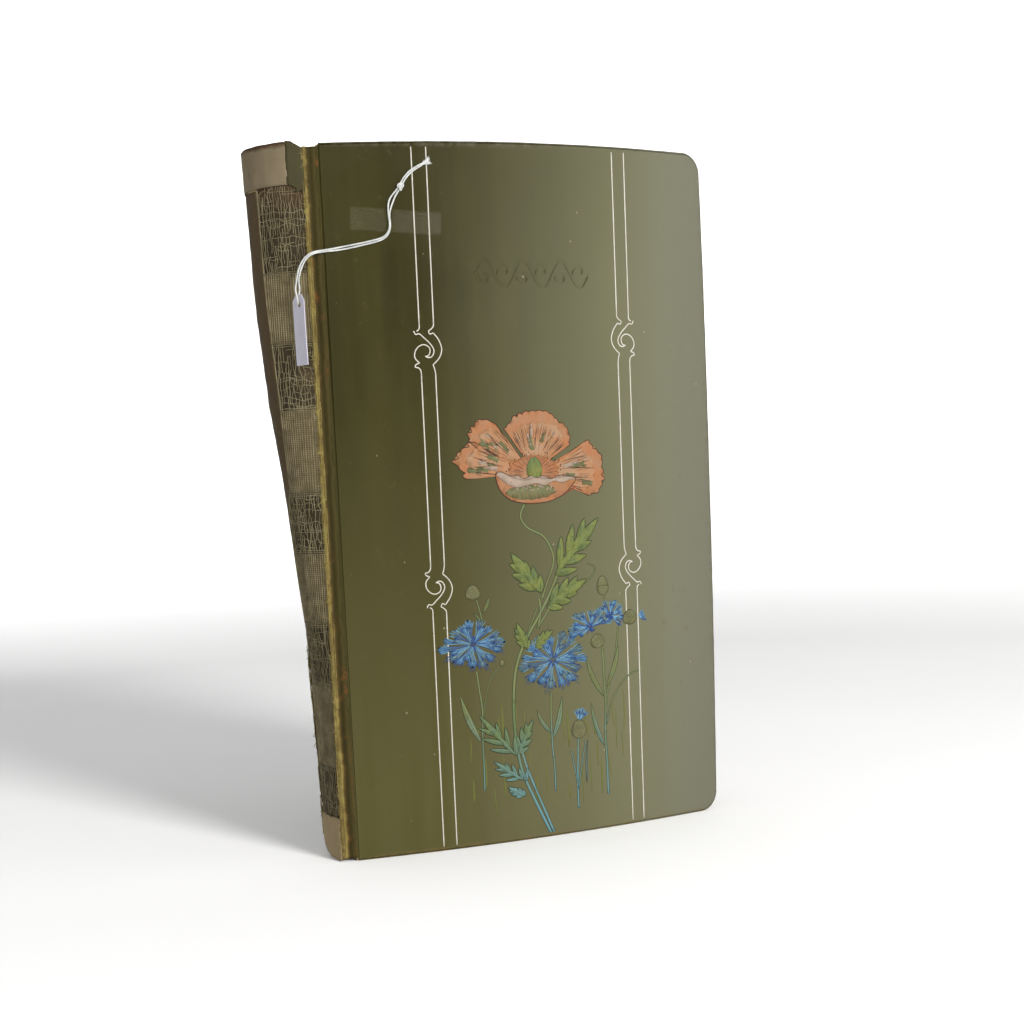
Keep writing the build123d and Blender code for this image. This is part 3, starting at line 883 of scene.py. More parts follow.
def spine_patch(name, low, high, lift, thick, finish, replaces, slot, seed, ragged, edges=None, waves=0.15):
    """A sheet glued on the spine. ragged is for its tail, head, front and rear edges; edges(z) its run."""
    edges = edges or (lambda z: (0.0, full_run(z)))
    low_at = low if callable(low) else (lambda s: low)
    high_at = high if callable(high) else (lambda s: high)
    low, high = low_at(0.0), high_at(0.0)
    rows = max(3, int((high - low) / 1.6))
    widest = max(edges(z)[1] - edges(z)[0] for z in (low, (low + high) / 2, high))
    cols = max(3, int(widest / 1.3))
    top = np.zeros((rows + 1, cols + 1, 3))
    bottom = np.zeros_like(top)
    for i in range(rows + 1):
        for j in range(cols + 1):
            t, s = i / rows, j / cols
            tail = low_at(s) + ragged[0] * ragged_line(s * 9, s * 31, seed)
            head = high_at(s) + ragged[1] * ragged_line(s * 9, s * 31, seed + 4)
            z = tail + (head - tail) * t
            first, last = edges(z)
            first += ragged[2] * ragged_line(z / 6, z / 1.9, seed + 7)
            last += ragged[3] * ragged_line(z / 6, z / 1.9, seed + 9)
            run = first + (last - first) * s
            ripple = waves * (wobble(run / 5, z / 9, seed) + 0.4 * wobble(run / 1.6, z / 3, seed + 1))
            top[i, j] = on_spine(z, run, lift + thick + ripple)
            bottom[i, j] = on_spine(z, run, lift)
    verts, faces = slab(top, bottom)
    return link_mesh(name, verts, faces, finish, "text_block", replaces=replaces, slot=slot)


THREAD_PITCH = 1.12
THREAD_R = 0.27


def mull_zone(name, node, is_open, finishes, seed):
    """One band of the mull: glued cloth ribs where it is whole, loose strands over dark paper where torn."""
    rng = random.Random(seed)
    low, high = (corner.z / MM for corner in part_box(node))
    heap = Heap()
    under_patch = 2.5 if high > 350 else 0.0
    rows = max(3, int((high - low) / 2.0))
    cols = 30
    top = np.zeros((rows + 1, cols + 1, 3))
    bottom = np.zeros_like(top)
    for i in range(rows + 1):
        z = low + (high + under_patch - low) * i / rows
        for j in range(cols + 1):
            run = mull_end(z) * j / cols
            ripple = 0.08 * wobble(run / 3, z / 4, seed)
            top[i, j] = on_spine(z, run, 0.22 + ripple)
            bottom[i, j] = on_spine(z, run, 0.02)
    heap.add(*slab(top, bottom), mark=0)

    def strand(path, radius):
        if len(path) > 2:
            heap.add(*tube(path, radius(), 5), mark=1)

    # Upright threads, which wander and break where the mull is torn
    pitch = THREAD_PITCH * 1.2
    thick = THREAD_R * (0.8 if is_open else 1.15)
    sway = 1.05 if is_open else 0.12
    widest = max(mull_end(z) for z in steps(low, high, 5.0))
    heights = steps(low, high, 1.5)
    for k in range(int(widest / pitch)):
        path = []
        for z in heights:
            wander = wobble(z / 5.5, k * 0.9, seed) + 0.6 * wobble(z / 2.3, k * 1.7, seed + 2)
            run = 0.5 + k * pitch + sway * wander
            torn = is_open and wobble(z / 8, k * 2.3, seed + 5) < -0.36
            if 0.2 < run < mull_end(z) - 0.3 and not torn:
                path.append(on_spine(z, run, 0.44 + 0.1 * wobble(z / 3, k)))
            else:
                strand(path, lambda: thick * rng.uniform(0.75, 1.15))
                path = []
        strand(path, lambda: thick * rng.uniform(0.75, 1.15))

    # Threads across the spine, many of them short where it is torn
    lift, bend = (0.5, 1.9) if is_open else (0.36, 0.14)
    margin = 0.5 if is_open else -rng.uniform(1.5, 3.0)
    z = low + margin
    while z < high - margin:
        start, end = 0.3, mull_end(z) - 0.3
        if is_open and rng.random() < 0.75:
            start = rng.uniform(0.3, end * 0.7)
            end = min(rng.uniform(start + 3, start + end * 0.7), end)
        path = []
        for run in steps(start, end, 1.5):
            bent = z + bend * wobble(run / 5, z * 0.37, seed + 8)
            path.append(on_spine(bent, run, lift + 0.08 * wobble(run, z)))
        strand(path, lambda: THREAD_R * rng.uniform(0.55, 0.85))
        z += rng.uniform(0.8, 4.0) if is_open else THREAD_PITCH * rng.uniform(0.92, 1.08)
    selvage = [on_spine(z, mull_end(z) - 0.5, 0.4) for z in heights if mull_end(z) < full_run(z) - 2]
    if selvage:
        heap.add(*tube(selvage, 0.42, 6), mark=1)
    heap.piece(name, finishes, "text_block", replaces=[node], slot="mull_torn" if is_open else "mull_fine")


# ------------------------------------------------------------------ printed design
PRINT_LIFT = 0.05
SKIRT = -0.12           # ink reaches this far into the cloth, which hides its edge
CUT_PITCH = 5.0         # flat shapes are cut this often so that they follow the cover's bow


def printed_fill(heap, outline, lift, mark=0):
    """A flat closed shape on the front cover, following its bow."""
    bm = bmesh.new()
    face = bm.faces.new([bm.verts.new((u, z, 0.0)) for u, z in outline])
    bmesh.ops.triangulate(bm, faces=[face])
    for axis in (0, 1):
        values = [v.co[axis] for v in bm.verts]
        line = math.ceil(min(values) / CUT_PITCH) * CUT_PITCH
        while line < max(values):
            cut(bm, axis, line)
            line += CUT_PITCH
    heap.add(*thicken(bm, lambda u, z, raised: on_front(u, z, lift if raised > 0.5 else SKIRT)), mark)


def printed_stroke(heap, points, width, lift, mark=0, taper=False, closed=False):
    """A drawn line on the front cover; width is one number or one per point."""
    p = np.asarray(points, float)
    n = len(p)
    w = np.broadcast_to(np.asarray(width, float), (n,)).copy()
    if taper:
        w *= np.clip(np.sin(np.linspace(0.06, 1.0, n) * math.pi * 0.97) * 1.25, 0.18, 1.0)
    t = unit((np.roll(p, -1, 0) - np.roll(p, 1, 0)) if closed else np.gradient(p, axis=0))
    side = np.stack([-t[:, 1], t[:, 0]], 1) * w[:, None] / 2
    verts = []
    for i in range(n):
        for sign, height in ((-1, SKIRT), (-1, lift * 0.6), (0, lift), (1, lift * 0.6), (1, SKIRT)):
            u, z = p[i] + side[i] * sign
            verts.append(on_front(u, z, height))
    faces = []
    for i in range(n if closed else n - 1):
        a, b = i * 5, ((i + 1) % n) * 5
        for k in range(5):
            m = (k + 1) % 5
            faces.append((a + k, b + k, b + m, a + m))
    if not closed:
        faces.append(tuple(range(5)))
        faces.append(tuple((n - 1) * 5 + k for k in range(5))[::-1])
    heap.add(verts, faces, mark)


# Borders: a pair of upright lines each side, (u at the tail, u at the head), the outer line first
BORDER_PAIRS = [((56.2, 57.2), (63.8, 65.4)), ((183.8, 185.1), (176.1, 177.1))]
BORDER_ENDS = (2.5, HEIGHT - 1.5)
BORDER_W = 0.68
# Where a pair breaks for its scrolls: the middle's height and which way up the scroll is
BREAKS = [[(145.0, -1), (273.8, 1)], [(148.2, -1), (277.4, 1)]]
SCROLL_HALF = 9.8
SCROLL_REACH = 1.34     # where the straight lines stop, in half heights
# The scroll's strokes: (across, from the outer line at 0 to the inner at 1; up, in half heights)
SCROLL = [
    [(0.0, 1.34), (0.0, 1.16), (-0.06, 1.04), (-0.2, 0.97)],
    [(-0.4, 0.98), (-0.28, 0.8), (-0.02, 0.82), (0.3, 0.6), (0.62, 0.36), (0.88, 0.08), (0.95, -0.16),
     (0.8, -0.4), (0.55, -0.46), (0.32, -0.38)],
    [(0.32, -0.4), (0.56, -0.34), (0.68, -0.1), (0.58, 0.12), (0.24, 0.24), (-0.14, 0.12), (-0.38, -0.16),
     (-0.38, -0.48), (-0.1, -0.74)],
    [(-0.1, -0.74), (-0.34, -0.82), (-0.4, -0.95), (-0.18, -1.0), (-0.04, -1.14), (0.0, -1.34)],
    [(1.0, 1.34), (0.97, 1.2), (0.8, 1.05), (0.64, 0.96), (0.72, 0.8), (0.95, 0.86)],
    [(0.95, 0.86), (1.28, 0.52), (1.48, 0.12), (1.47, -0.2), (1.26, -0.54), (0.84, -0.86)],
    [(0.84, -0.86), (0.93, -1.04), (1.0, -1.34)],
]


def border_u(line, z):
    return line[0] + (line[1] - line[0]) * z / HEIGHT


def borders(finish):
    """Two pairs of pale upright lines, each pair broken twice by a scroll."""
    heap = Heap()
    for pair, breaks in zip(BORDER_PAIRS, BREAKS):
        stops = [BORDER_ENDS[0]]
        for middle, _ in breaks:
            stops += [middle - SCROLL_REACH * SCROLL_HALF, middle + SCROLL_REACH * SCROLL_HALF]
        stops.append(BORDER_ENDS[1])
        for line in pair:
            for low, high in zip(stops[0::2], stops[1::2]):
                upright = [(border_u(line, z), z) for z in steps(low, high, 4.0)]
                printed_stroke(heap, upright, BORDER_W, PRINT_LIFT)
        for middle, way_up in breaks:
            for stroke in SCROLL:
                points = []
                for across, up in smooth_line(stroke, 6):
                    z = middle + way_up * up * SCROLL_HALF
                    outer, inner = (border_u(line, z) for line in pair)
                    points.append((outer + (inner - outer) * across, z))
                printed_stroke(heap, points, BORDER_W * 0.92, PRINT_LIFT)
    heap.piece("border_lines", finish, "front_cover")


def tooling_shade(finish):
    """Darker strokes along the pressed vine."""
    heap = Heap()
    for line in TOOLING_LINES:
        printed_stroke(heap, line, TOOLING_HALF_W, -TOOLING_DEPTH * 0.62)
    heap.piece("pressed_vine", finish, "front_cover")


PETAL_ROOT = 0.1        # how near the flower's middle a petal starts, as a share of its length


def petal_outline(centre, angle, half_width, length, squash, scallops, seed):
    """A fan-shaped petal with a scalloped rim."""
    points = []
    for t in np.linspace(-1, 1, 61):
        scallop = abs(math.sin((t + 0.06 * wobble(t * 3, seed + 5)) * scallops * math.pi / 2)) ** 0.7
        bulge = 1 - 0.15 * t * t + 0.05 * (0.75 + 1.2 * wobble(t * 4, seed + 3)) * scallop
        bulge += 0.09 * wobble(t * 2.4, seed)
        points.append(around(centre, angle + half_width * t, length * bulge, squash))
    for t in (0.62, 0.2, -0.2, -0.62):
        points.append(around(centre, angle + half_width * t, length * PETAL_ROOT, squash))
    return points


# One large open flower: its middle, and its petals as (angle, half width, length, squash, scallops, seed)
POPPY = (119.8, 205.0)
POPPY_PETALS = [(167, 15, 45, 1.0, 6, 1.0), (142, 14, 43, 1.0, 6, 2.2), (2, 24, 43.5, 1.0, 9, 3.1),
                (78, 46, 33, 1.0, 13, 5.7)]
EYE = (15.5, 10.0)
SEED_HEAD = (120.4, 207.6)
BOWL = [(96.8, 205.2), (99.0, 197.0), (105.0, 191.4), (113.5, 189.0), (121.5, 188.6), (129.6, 189.4),
        (138.0, 192.6), (143.4, 197.2), (146.0, 201.0), (141.0, 202.4), (130.0, 201.6), (121.0, 202.6),
        (114.0, 201.6), (106.3, 203.6), (100.0, 206.6)]
BOWL_RIM = [(97.4, 205.4), (100.0, 206.8), (106.3, 204.0), (110.0, 204.2), (114.0, 202.2), (118.0, 203.8),
            (121.5, 202.6), (126.0, 203.4), (130.0, 201.8), (136.0, 203.0), (141.0, 202.6), (146.0, 201.2),
            (141.6, 200.2), (137.4, 199.0), (132.0, 200.2), (126.4, 198.0), (121.0, 199.4), (115.7, 198.4),
            (109.0, 197.6), (104.0, 199.6), (100.1, 202.4)]


BOWL_WORN = (118.0, 194.9)    # where the bowl's colour has rubbed away
# The poppy's layers of ink, as heights above the cloth, so that none lies in another
INK_LIFT = dict(
    petal=0.05, blush=0.102, patch=0.118, eye=0.125, outline=0.13, vein=0.135, seed_head=0.145, filament=0.15,
    anther=0.155, bowl=0.16, worn=0.168, seed_line=0.17, bowl_rim=0.175, fleck=0.18, shading=0.182,
    hatching=0.185, bowl_line=0.2)
# Its inks, in the order of the material slots
PETAL, PALE, GREEN, BARE, BLUSH, RED = range(6)


def around(centre, angle, reach, squash):
    """The point at an angle and a distance from a centre, its height squashed."""
    a = math.radians(angle)
    return centre[0] + reach * math.cos(a), centre[1] + reach * squash * math.sin(a)


def oval(centre, half_w, half_h, count=28, egg=0.0):
    turns = np.linspace(0, 2 * math.pi, count, endpoint=False)
    return [(centre[0] + half_w * math.cos(a) * (1 - egg * math.sin(a)), centre[1] + half_h * math.sin(a))
            for a in turns]


def poppy_petal(fills, marks, rng, order, petal):
    """A petal with a blushed middle, fine veins at its rim and long ones below, and patches of other ink."""
    angle, half, length, squash, scallops, seed = petal
    shape = petal_outline(POPPY, angle, half, length, squash, scallops, seed)
    printed_fill(fills, shape, INK_LIFT["petal"] + 0.012 * order, PETAL)
    inner = petal_outline(POPPY, angle, half * 0.86, length * 0.86, squash, scallops - 2, seed + 0.6)
    printed_fill(fills, inner, INK_LIFT["blush"] + 0.003 * order, BLUSH)
    for _ in range(int(half * 0.7)):
        t = rng.uniform(-0.9, 0.9)
        first = 0.84 - 0.13 * t * t
        line = [around(POPPY, angle + half * t, length * r, squash)
                for r in np.linspace(first, first - 0.2, 4)]
        printed_stroke(marks, line, 0.38, INK_LIFT["vein"], taper=True)
    printed_stroke(marks, shape + shape[:1], 0.45, INK_LIFT["outline"])
    veins = int(half)
    for vein in range(veins):
        t = -0.88 + 1.76 * vein / (veins - 1) + 0.05 * wobble(vein, seed)
        first = rng.uniform(0.36, 0.6)
        last = min(first + rng.uniform(0.15, 0.4), 0.9 - 0.14 * abs(t))
        line = [around(POPPY, angle + half * t + 2.5 * math.sin(r * 5 + vein), length * r, squash)
                for r in np.linspace(first, last, 7)]
        printed_stroke(marks, line, 0.42, INK_LIFT["vein"], taper=True)
    for _ in range(6):
        toward = angle + half * rng.uniform(-0.6, 0.6)
        spot = around(POPPY, toward, length * rng.uniform(0.5, 0.8), squash)
        size = rng.uniform(0.8, 2.6)
        patch = []
        for turn in range(0, 360, 15):
            long_way = abs(turn % 180 - 90) > 45
            reach = size * (1 + 0.8 * wobble(turn / 25, size, seed)) * (1.5 if long_way else 0.6)
            patch.append(around(spot, turn + toward, reach, 1.0))
        printed_fill(fills, patch, INK_LIFT["patch"], rng.choice((PALE, BARE)))


def poppy_eye(fills, marks, rng):
    """The ring of stamens: a dark hair with a thicker end for each."""
    wide, tall = EYE
    squash = tall / wide
    count = 72
    printed_fill(fills, oval(POPPY, wide, tall, 36), INK_LIFT["eye"], PETAL)
    for stamen in range(count):
        angle = 360 * stamen / count + rng.uniform(-2, 2)
        first, last = rng.uniform(0.36, 0.56), rng.uniform(0.82, 1.18)
        hair = [around(POPPY, angle, wide * r, squash) for r in np.linspace(first, last, 4)]
        printed_stroke(marks, hair, 0.52, INK_LIFT["filament"], taper=True)
        end = [around(POPPY, angle + 2, wide * (last + more), squash) for more in (0.02, 0.08)]
        printed_stroke(marks, end, 0.75, INK_LIFT["anther"])


def poppy_seed_head(fills, marks):
    """A rounded seed head with four rays on its crown."""
    shape = oval(SEED_HEAD, 4.7, 6.4, 28, 0.16)
    printed_fill(fills, shape, INK_LIFT["seed_head"], GREEN)
    printed_stroke(marks, shape, 0.42, INK_LIFT["seed_line"], closed=True)
    for ray in (-0.9, -0.3, 0.3, 0.9):
        line = [(SEED_HEAD[0] + 4.6 * ray * share, SEED_HEAD[1] + 6.0 - 11.0 * share)
                for share in (0, 0.4, 1)]
        printed_stroke(marks, line, 0.32, INK_LIFT["seed_line"])


def poppy_bowl(fills, marks, rng):
    """The cupped petal in front: its turned rim, a rubbed patch with flecks, and shading strokes."""
    bowl = smooth_line(BOWL, 4, closed=True)
    rim = smooth_line(BOWL_RIM, 4, closed=True)
    printed_fill(fills, bowl, INK_LIFT["bowl"], PETAL)
    printed_fill(fills, rim, INK_LIFT["bowl_rim"], PALE)
    printed_stroke(marks, bowl, 0.6, INK_LIFT["bowl_line"], closed=True)
    printed_stroke(marks, rim, 0.42, INK_LIFT["bowl_line"], closed=True)
    worn = [(u + 2.2 * wobble(u * 1.3, z), z + 1.3 * wobble(z * 1.7, u))
            for u, z in oval(BOWL_WORN, 15.0, 4.0, 60)]
    printed_fill(fills, worn, INK_LIFT["worn"], BARE)
    for _ in range(26):
        at = (BOWL_WORN[0] + rng.uniform(-10, 14), BOWL_WORN[1] + rng.uniform(1.0, 4.6))
        fleck = oval(at, rng.uniform(0.3, 0.7), rng.uniform(0.3, 0.6), 8)
        printed_fill(fills, fleck, INK_LIFT["fleck"], PALE)
    for stroke in range(34):
        u = 99.5 + stroke * 1.35
        depth = 8.2 * (1 - ((u - 121) / 27) ** 2)
        shares = np.linspace(rng.uniform(0.1, 0.5), 1.0, 4)
        line = [(u + 2.4 * share, 197.6 - depth * share) for share in shares]
        if u > 124 or stroke % 2:
            printed_stroke(fills, line, 0.8, INK_LIFT["shading"], mark=RED, taper=True)
        else:
            printed_stroke(marks, line, 0.4, INK_LIFT["hatching"], taper=True)


def poppy(inks, outline):
    """One large open flower: fan petals behind, a cupped one in front, a round seed head between."""
    fills, marks = Heap(), Heap()
    rng = random.Random(31)
    for order, petal in enumerate(POPPY_PETALS):
        poppy_petal(fills, marks, rng, order, petal)
    poppy_eye(fills, marks, rng)
    poppy_seed_head(fills, marks)
    poppy_bowl(fills, marks, rng)
    fills.piece("poppy_petals", inks, "front_cover")
    marks.piece("poppy_lines", outline, "front_cover")


# Cornflowers: middle, radius, squash, first and last angle of the florets
CORNFLOWERS = [((79.0, 113.5), 20.0, 0.72, 0, 360), ((127.0, 100.5), 21.0, 0.78, 0, 360),
               ((152.0, 117.0), 15.0, 0.7, 20, 230), ((165.0, 122.5), 10.5, 0.85, -40, 160)]
SPRIGS = [((142.2, 64.0), 8.0, 1.0, 45, 125), ((184.0, 121.0), 5.0, 1.0, -35, 55)]


def floret(centre, angle, length, squash, spread, rng):
    """One trumpet-shaped floret with a toothed mouth."""
    a = math.radians(angle)
    along = np.array([math.cos(a), math.sin(a)])
    side = np.array([-math.sin(a), math.cos(a)])
    shape = [(0.14, -0.015), (0.45, -0.028), (0.72, -spread * 0.62)]
    teeth = 4
    for tooth in range(teeth):
        s = -1 + 2 * tooth / (teeth - 1)
        shape.append((1.0 - 0.05 * s * s + rng.uniform(-0.05, 0.04), spread * s))
        if tooth < teeth - 1:
            shape.append((0.83, spread * (s + 1 / (teeth - 1))))
    shape += [(0.72, spread * 0.62), (0.45, 0.028), (0.14, 0.015)]
    points = [along * length * r + side * length * w for r, w in shape]
    return [(centre[0] + x, centre[1] + y * squash) for x, y in points]


# Their inks, in the order of the material slots
BLUE, DEEP, NAVY, SLATE, SKY = range(5)


def cornflower_floret(fills, rng, centre, angle, length, squash, lift, main, ring, odd):
    """One floret with its lighter or darker inside, edges, rib and, on the shaded side, fringe."""
    spread = rng.uniform(0.13, 0.18)
    shape = floret(centre, angle, length, squash, spread, rng)
    printed_fill(fills, shape, lift, main)
    shaded = ring == 1 or 190 < angle % 360 < 350
    inner = floret(centre, angle, length * 0.72, squash, spread * 0.45, rng)
    printed_fill(fills, inner, lift + 0.008, SLATE if ring == 0 else DEEP)
    line_lift = lift + 0.03
    printed_stroke(fills, shape[2:-2], 0.62 if shaded else 0.42, line_lift, mark=DEEP if shaded else SKY)
    for edge in (shape[:4], shape[-4:]):
        printed_stroke(fills, edge, 0.34, line_lift, mark=SKY if odd else DEEP)
    rib = [around(centre, angle, length * r, squash) for r in (0.2, 0.5, 0.78, 0.92)]
    printed_stroke(fills, rib, 0.55, line_lift, mark=SKY if shaded else DEEP, taper=True)
    if shaded and ring == 0:
        for _ in range(5):
            at = around(centre, angle + rng.uniform(-9, 9), length * rng.uniform(0.88, 1.04), squash)
            tip = around(at, angle + rng.uniform(-20, 20), rng.uniform(1.4, 3.0), 1.0)
            printed_stroke(fills, [at, tip], 0.8, lift + 0.035, mark=DEEP, taper=True)


def cornflowers(inks):
    """Blue flowers of separate toothed florets, the cloth showing between them."""
    fills = Heap()
    rng = random.Random(11)
    for flower, (centre, radius, squash, first, last) in enumerate(CORNFLOWERS + SPRIGS):
        sweep = last - first
        count = max(4, int(sweep / 23))
        for ring, share in enumerate((1.0, 0.72)):
            for k in range(0, count, 1 + ring):
                angle = first + sweep * (k + 0.5 * ring) / count + rng.uniform(-5, 5)
                length = radius * share * rng.uniform(0.84, 1.06)
                grey = (k + flower) % 3 == 0 or (k % 2 and 0 < angle % 360 < 160)
                cornflower_floret(fills, rng, centre, angle, length, squash, 0.06 + 0.02 * ring + 0.003 * k,
                                  SLATE if grey else BLUE, ring, (k + ring) % 2)
        if radius > 10:
            for _ in range(40):
                angle, reach = rng.uniform(0, 360), radius * rng.uniform(0.0, 0.2)
                at = around(centre, angle, reach, 0.9)
                tip = around(at, angle, rng.uniform(0.7, 1.6), 1.0)
                printed_stroke(fills, [at, tip], 0.6, 0.14, mark=rng.choice((DEEP, NAVY)))
    fills.piece("cornflower_florets", inks, "front_cover")


# Stems, as points from the flower to the ground, with a width
STEMS = [
    ([(113.4, 188.3), (110.8, 182.0), (114.6, 175.5), (124.2, 170.2), (129.2, 162.0), (129.8, 154.5),
      (125.8, 145.0), (121.6, 135.0)], 1.1),
    ([(132.0, 148.0), (126.5, 137.5), (119.0, 125.5), (113.0, 117.0), (107.5, 107.5), (103.4, 95.5),
      (101.6, 79.0), (101.8, 62.3), (104.8, 41.0), (111.6, 23.9), (121.5, 2.5)], 1.5),
    ([(104.4, 55.0), (108.5, 40.3), (114.2, 25.5), (123.5, 2.5)], 1.2),
    ([(129.0, 134.0), (124.0, 127.0), (118.0, 119.0)], 1.0),
    ([(120.0, 136.0), (120.6, 129.0), (118.6, 119.0)], 1.2),
    ([(118.6, 130.5), (113.0, 119.0), (108.6, 110.0)], 0.7),
    ([(80.2, 98.4), (81.4, 87.1), (82.6, 76.5), (82.0, 60.9), (82.1, 43.3), (81.8, 31.0)], 0.9),
    ([(95.0, 100.6), (88.3, 93.4), (84.2, 79.8), (82.4, 66.0)], 0.5),
    ([(82.1, 137.8), (84.1, 130.0), (84.9, 124.0)], 0.7),
    ([(125.1, 82.0), (124.5, 68.8), (124.7, 52.7), (125.6, 38.3), (125.5, 25.8)], 0.9),
    ([(159.4, 104.4), (159.8, 90.1), (160.3, 72.0), (159.4, 56.0), (159.8, 41.4), (160.0, 19.6)], 1.1),
    ([(170.4, 115.9), (167.5, 98.3), (161.4, 77.3), (160.0, 60.0)], 0.8),
    ([(183.2, 89.5), (177.0, 87.5), (171.1, 82.6), (164.4, 73.4), (160.7, 61.2)], 0.6),
    ([(141.4, 54.4), (140.7, 43.7), (139.9, 25.8), (140.0, 14.0)], 0.9),
    ([(136.5, 47.8), (138.9, 35.0), (139.9, 25.8)], 0.6),
    ([(146.2, 52.1), (143.2, 39.8), (140.4, 25.0)], 0.6),
    ([(147.0, 140.0), (151.5, 143.5), (155.6, 147.2), (156.2, 151.0), (152.0, 153.0)], 0.5),
    ([(161.4, 135.4), (161.8, 130.5)], 0.6),
]
# Lobed leaves: root, tip, how wide
LOBED_LEAVES = [
    ((120.5, 139.5), (104.0, 162.0), 11.5), ((131.5, 149.5), (160.0, 178.5), 12.0),
    ((125.5, 131.5), (150.5, 144.5), 11.0), ((111.0, 108.5), (105.5, 123.0), 6.5),
    ((116.5, 109.0), (128.0, 117.5), 5.5), ((101.0, 49.5), (80.5, 73.5), 6.5),
    ((103.6, 50.5), (113.0, 68.0), 6.5), ((104.6, 35.0), (88.0, 47.0), 5.0),
    ((106.0, 25.5), (96.0, 31.5), 4.6),
]
# Plain narrow ones: root, tip, how wide, sideways bend
PLAIN_LEAVES = [
    ((81.0, 58.5), (69.8, 86.0), 3.4, 1.2), ((85.5, 130.5), (89.6, 139.0), 1.8, -0.6),
    ((84.6, 125.5), (79.5, 131.0), 1.2, 0.0), ((124.5, 59.5), (115.8, 73.5), 2.2, 1.4),
    ((125.0, 56.0), (132.0, 79.5), 3.0, -1.2), ((159.4, 76.5), (148.2, 101.5), 2.6, 1.6),
    ((161.4, 82.0), (170.2, 105.5), 3.0, -1.2), ((158.4, 48.0), (150.4, 74.0), 2.2, 1.2),
    ((107.0, 33.5), (108.6, 41.5), 2.2, 0.0), ((146.0, 28.0), (147.5, 53.0), 0.9, 0.6),
]
# Buds: middle, half width, half height
BUDS = [((80.0, 142.0), 4.2, 4.0), ((161.0, 140.0), 3.7, 5.4), ((178.4, 120.6), 4.4, 4.2),
        ((142.0, 59.8), 4.6, 5.4), ((156.3, 108.8), 4.4, 4.0), ((95.6, 102.0), 1.2, 2.0)]
# Lobes of a leaf: where each starts, how long and how wide it is, as shares, and how far it leans out
LEAF_LOBES = [(0.02, 0.4, 0.36, 38), (0.22, 0.42, 0.4, 32), (0.44, 0.36, 0.34, 24)]
TEAL_BELOW = 58.0       # leaves that spring from below this height are printed in the bluer ink
# The greenery's inks, in the order of the material slots
LEAF, STEM, LINE, GRASS, TEAL, BUD = range(6)


def almond(root, angle, length, width, bend=0.0):
    """A narrow leaf shape pointed at both ends, and its midrib."""
    a = math.radians(angle)
    along, side = np.array([math.cos(a), math.sin(a)]), np.array([-math.sin(a), math.cos(a)])
    edges, midrib = ([], []), []
    for t in np.linspace(0, 1, 21):
        middle = np.array(root) + along * length * t + side * bend * math.sin(t * math.pi)
        half = width / 2 * math.sin(math.pi * t ** 0.85) ** 0.85 if 0 < t < 1 else 0.0
        midrib.append(middle)
        edges[0].append(middle + side * half)
        edges[1].append(middle - side * half)
    return [tuple(point) for point in edges[0] + edges[1][::-1][1:-1]], midrib


def lobed_leaf(heap, root, tip, width, ink):
    """A leaf of pointed lobes that lean toward its tip."""
    root, tip = np.array(root), np.array(tip)
    length = float(np.linalg.norm(tip - root))
    heading = math.degrees(math.atan2(*(tip - root)[::-1]))
    lobes = []
    for start, long, wide, lean in LEAF_LOBES:
        for side in (-1, 1):
            foot = root + (tip - root) * (start + 0.05 * side)
            lobes.append((foot, heading + lean * side, length * long * (1 + 0.1 * side), width * wide))
    lobes.append((root + (tip - root) * 0.3, heading, length * 0.7, width * 0.5))
    lobes.append((root, heading, length * 0.6, width * 0.34))
    shapes = [almond(*lobe) for lobe in lobes]
    for order, (shape, _) in enumerate(shapes):
        printed_stroke(heap, shape, 0.75, 0.075 + 0.002 * order, mark=LINE, closed=True)
        printed_fill(heap, shape, 0.1 + 0.003 * order, mark=ink)
    for _, midrib in shapes[:-2]:
        printed_stroke(heap, midrib[:15], 0.3, 0.14, mark=LINE, taper=True)
    printed_stroke(heap, [root, root + (tip - root) * 0.85], 0.4, 0.14, mark=LINE, taper=True)


def seeds(heap, u, z, half_w, half_h):
    """Small ticks that cover a bud."""
    for row in range(-2, 3):
        for col in range(-1, 2):
            x, y = u + (col + 0.5 * (row % 2)) * half_w * 0.5, z + row * half_h * 0.32
            if ((x - u) / half_w) ** 2 + ((y - z) / half_h) ** 2 < 0.5:
                tick = [(x - 0.9, y + 0.5), (x, y - 0.5), (x + 0.9, y + 0.5)]
                printed_stroke(heap, tick, 0.26, 0.13, mark=LINE)


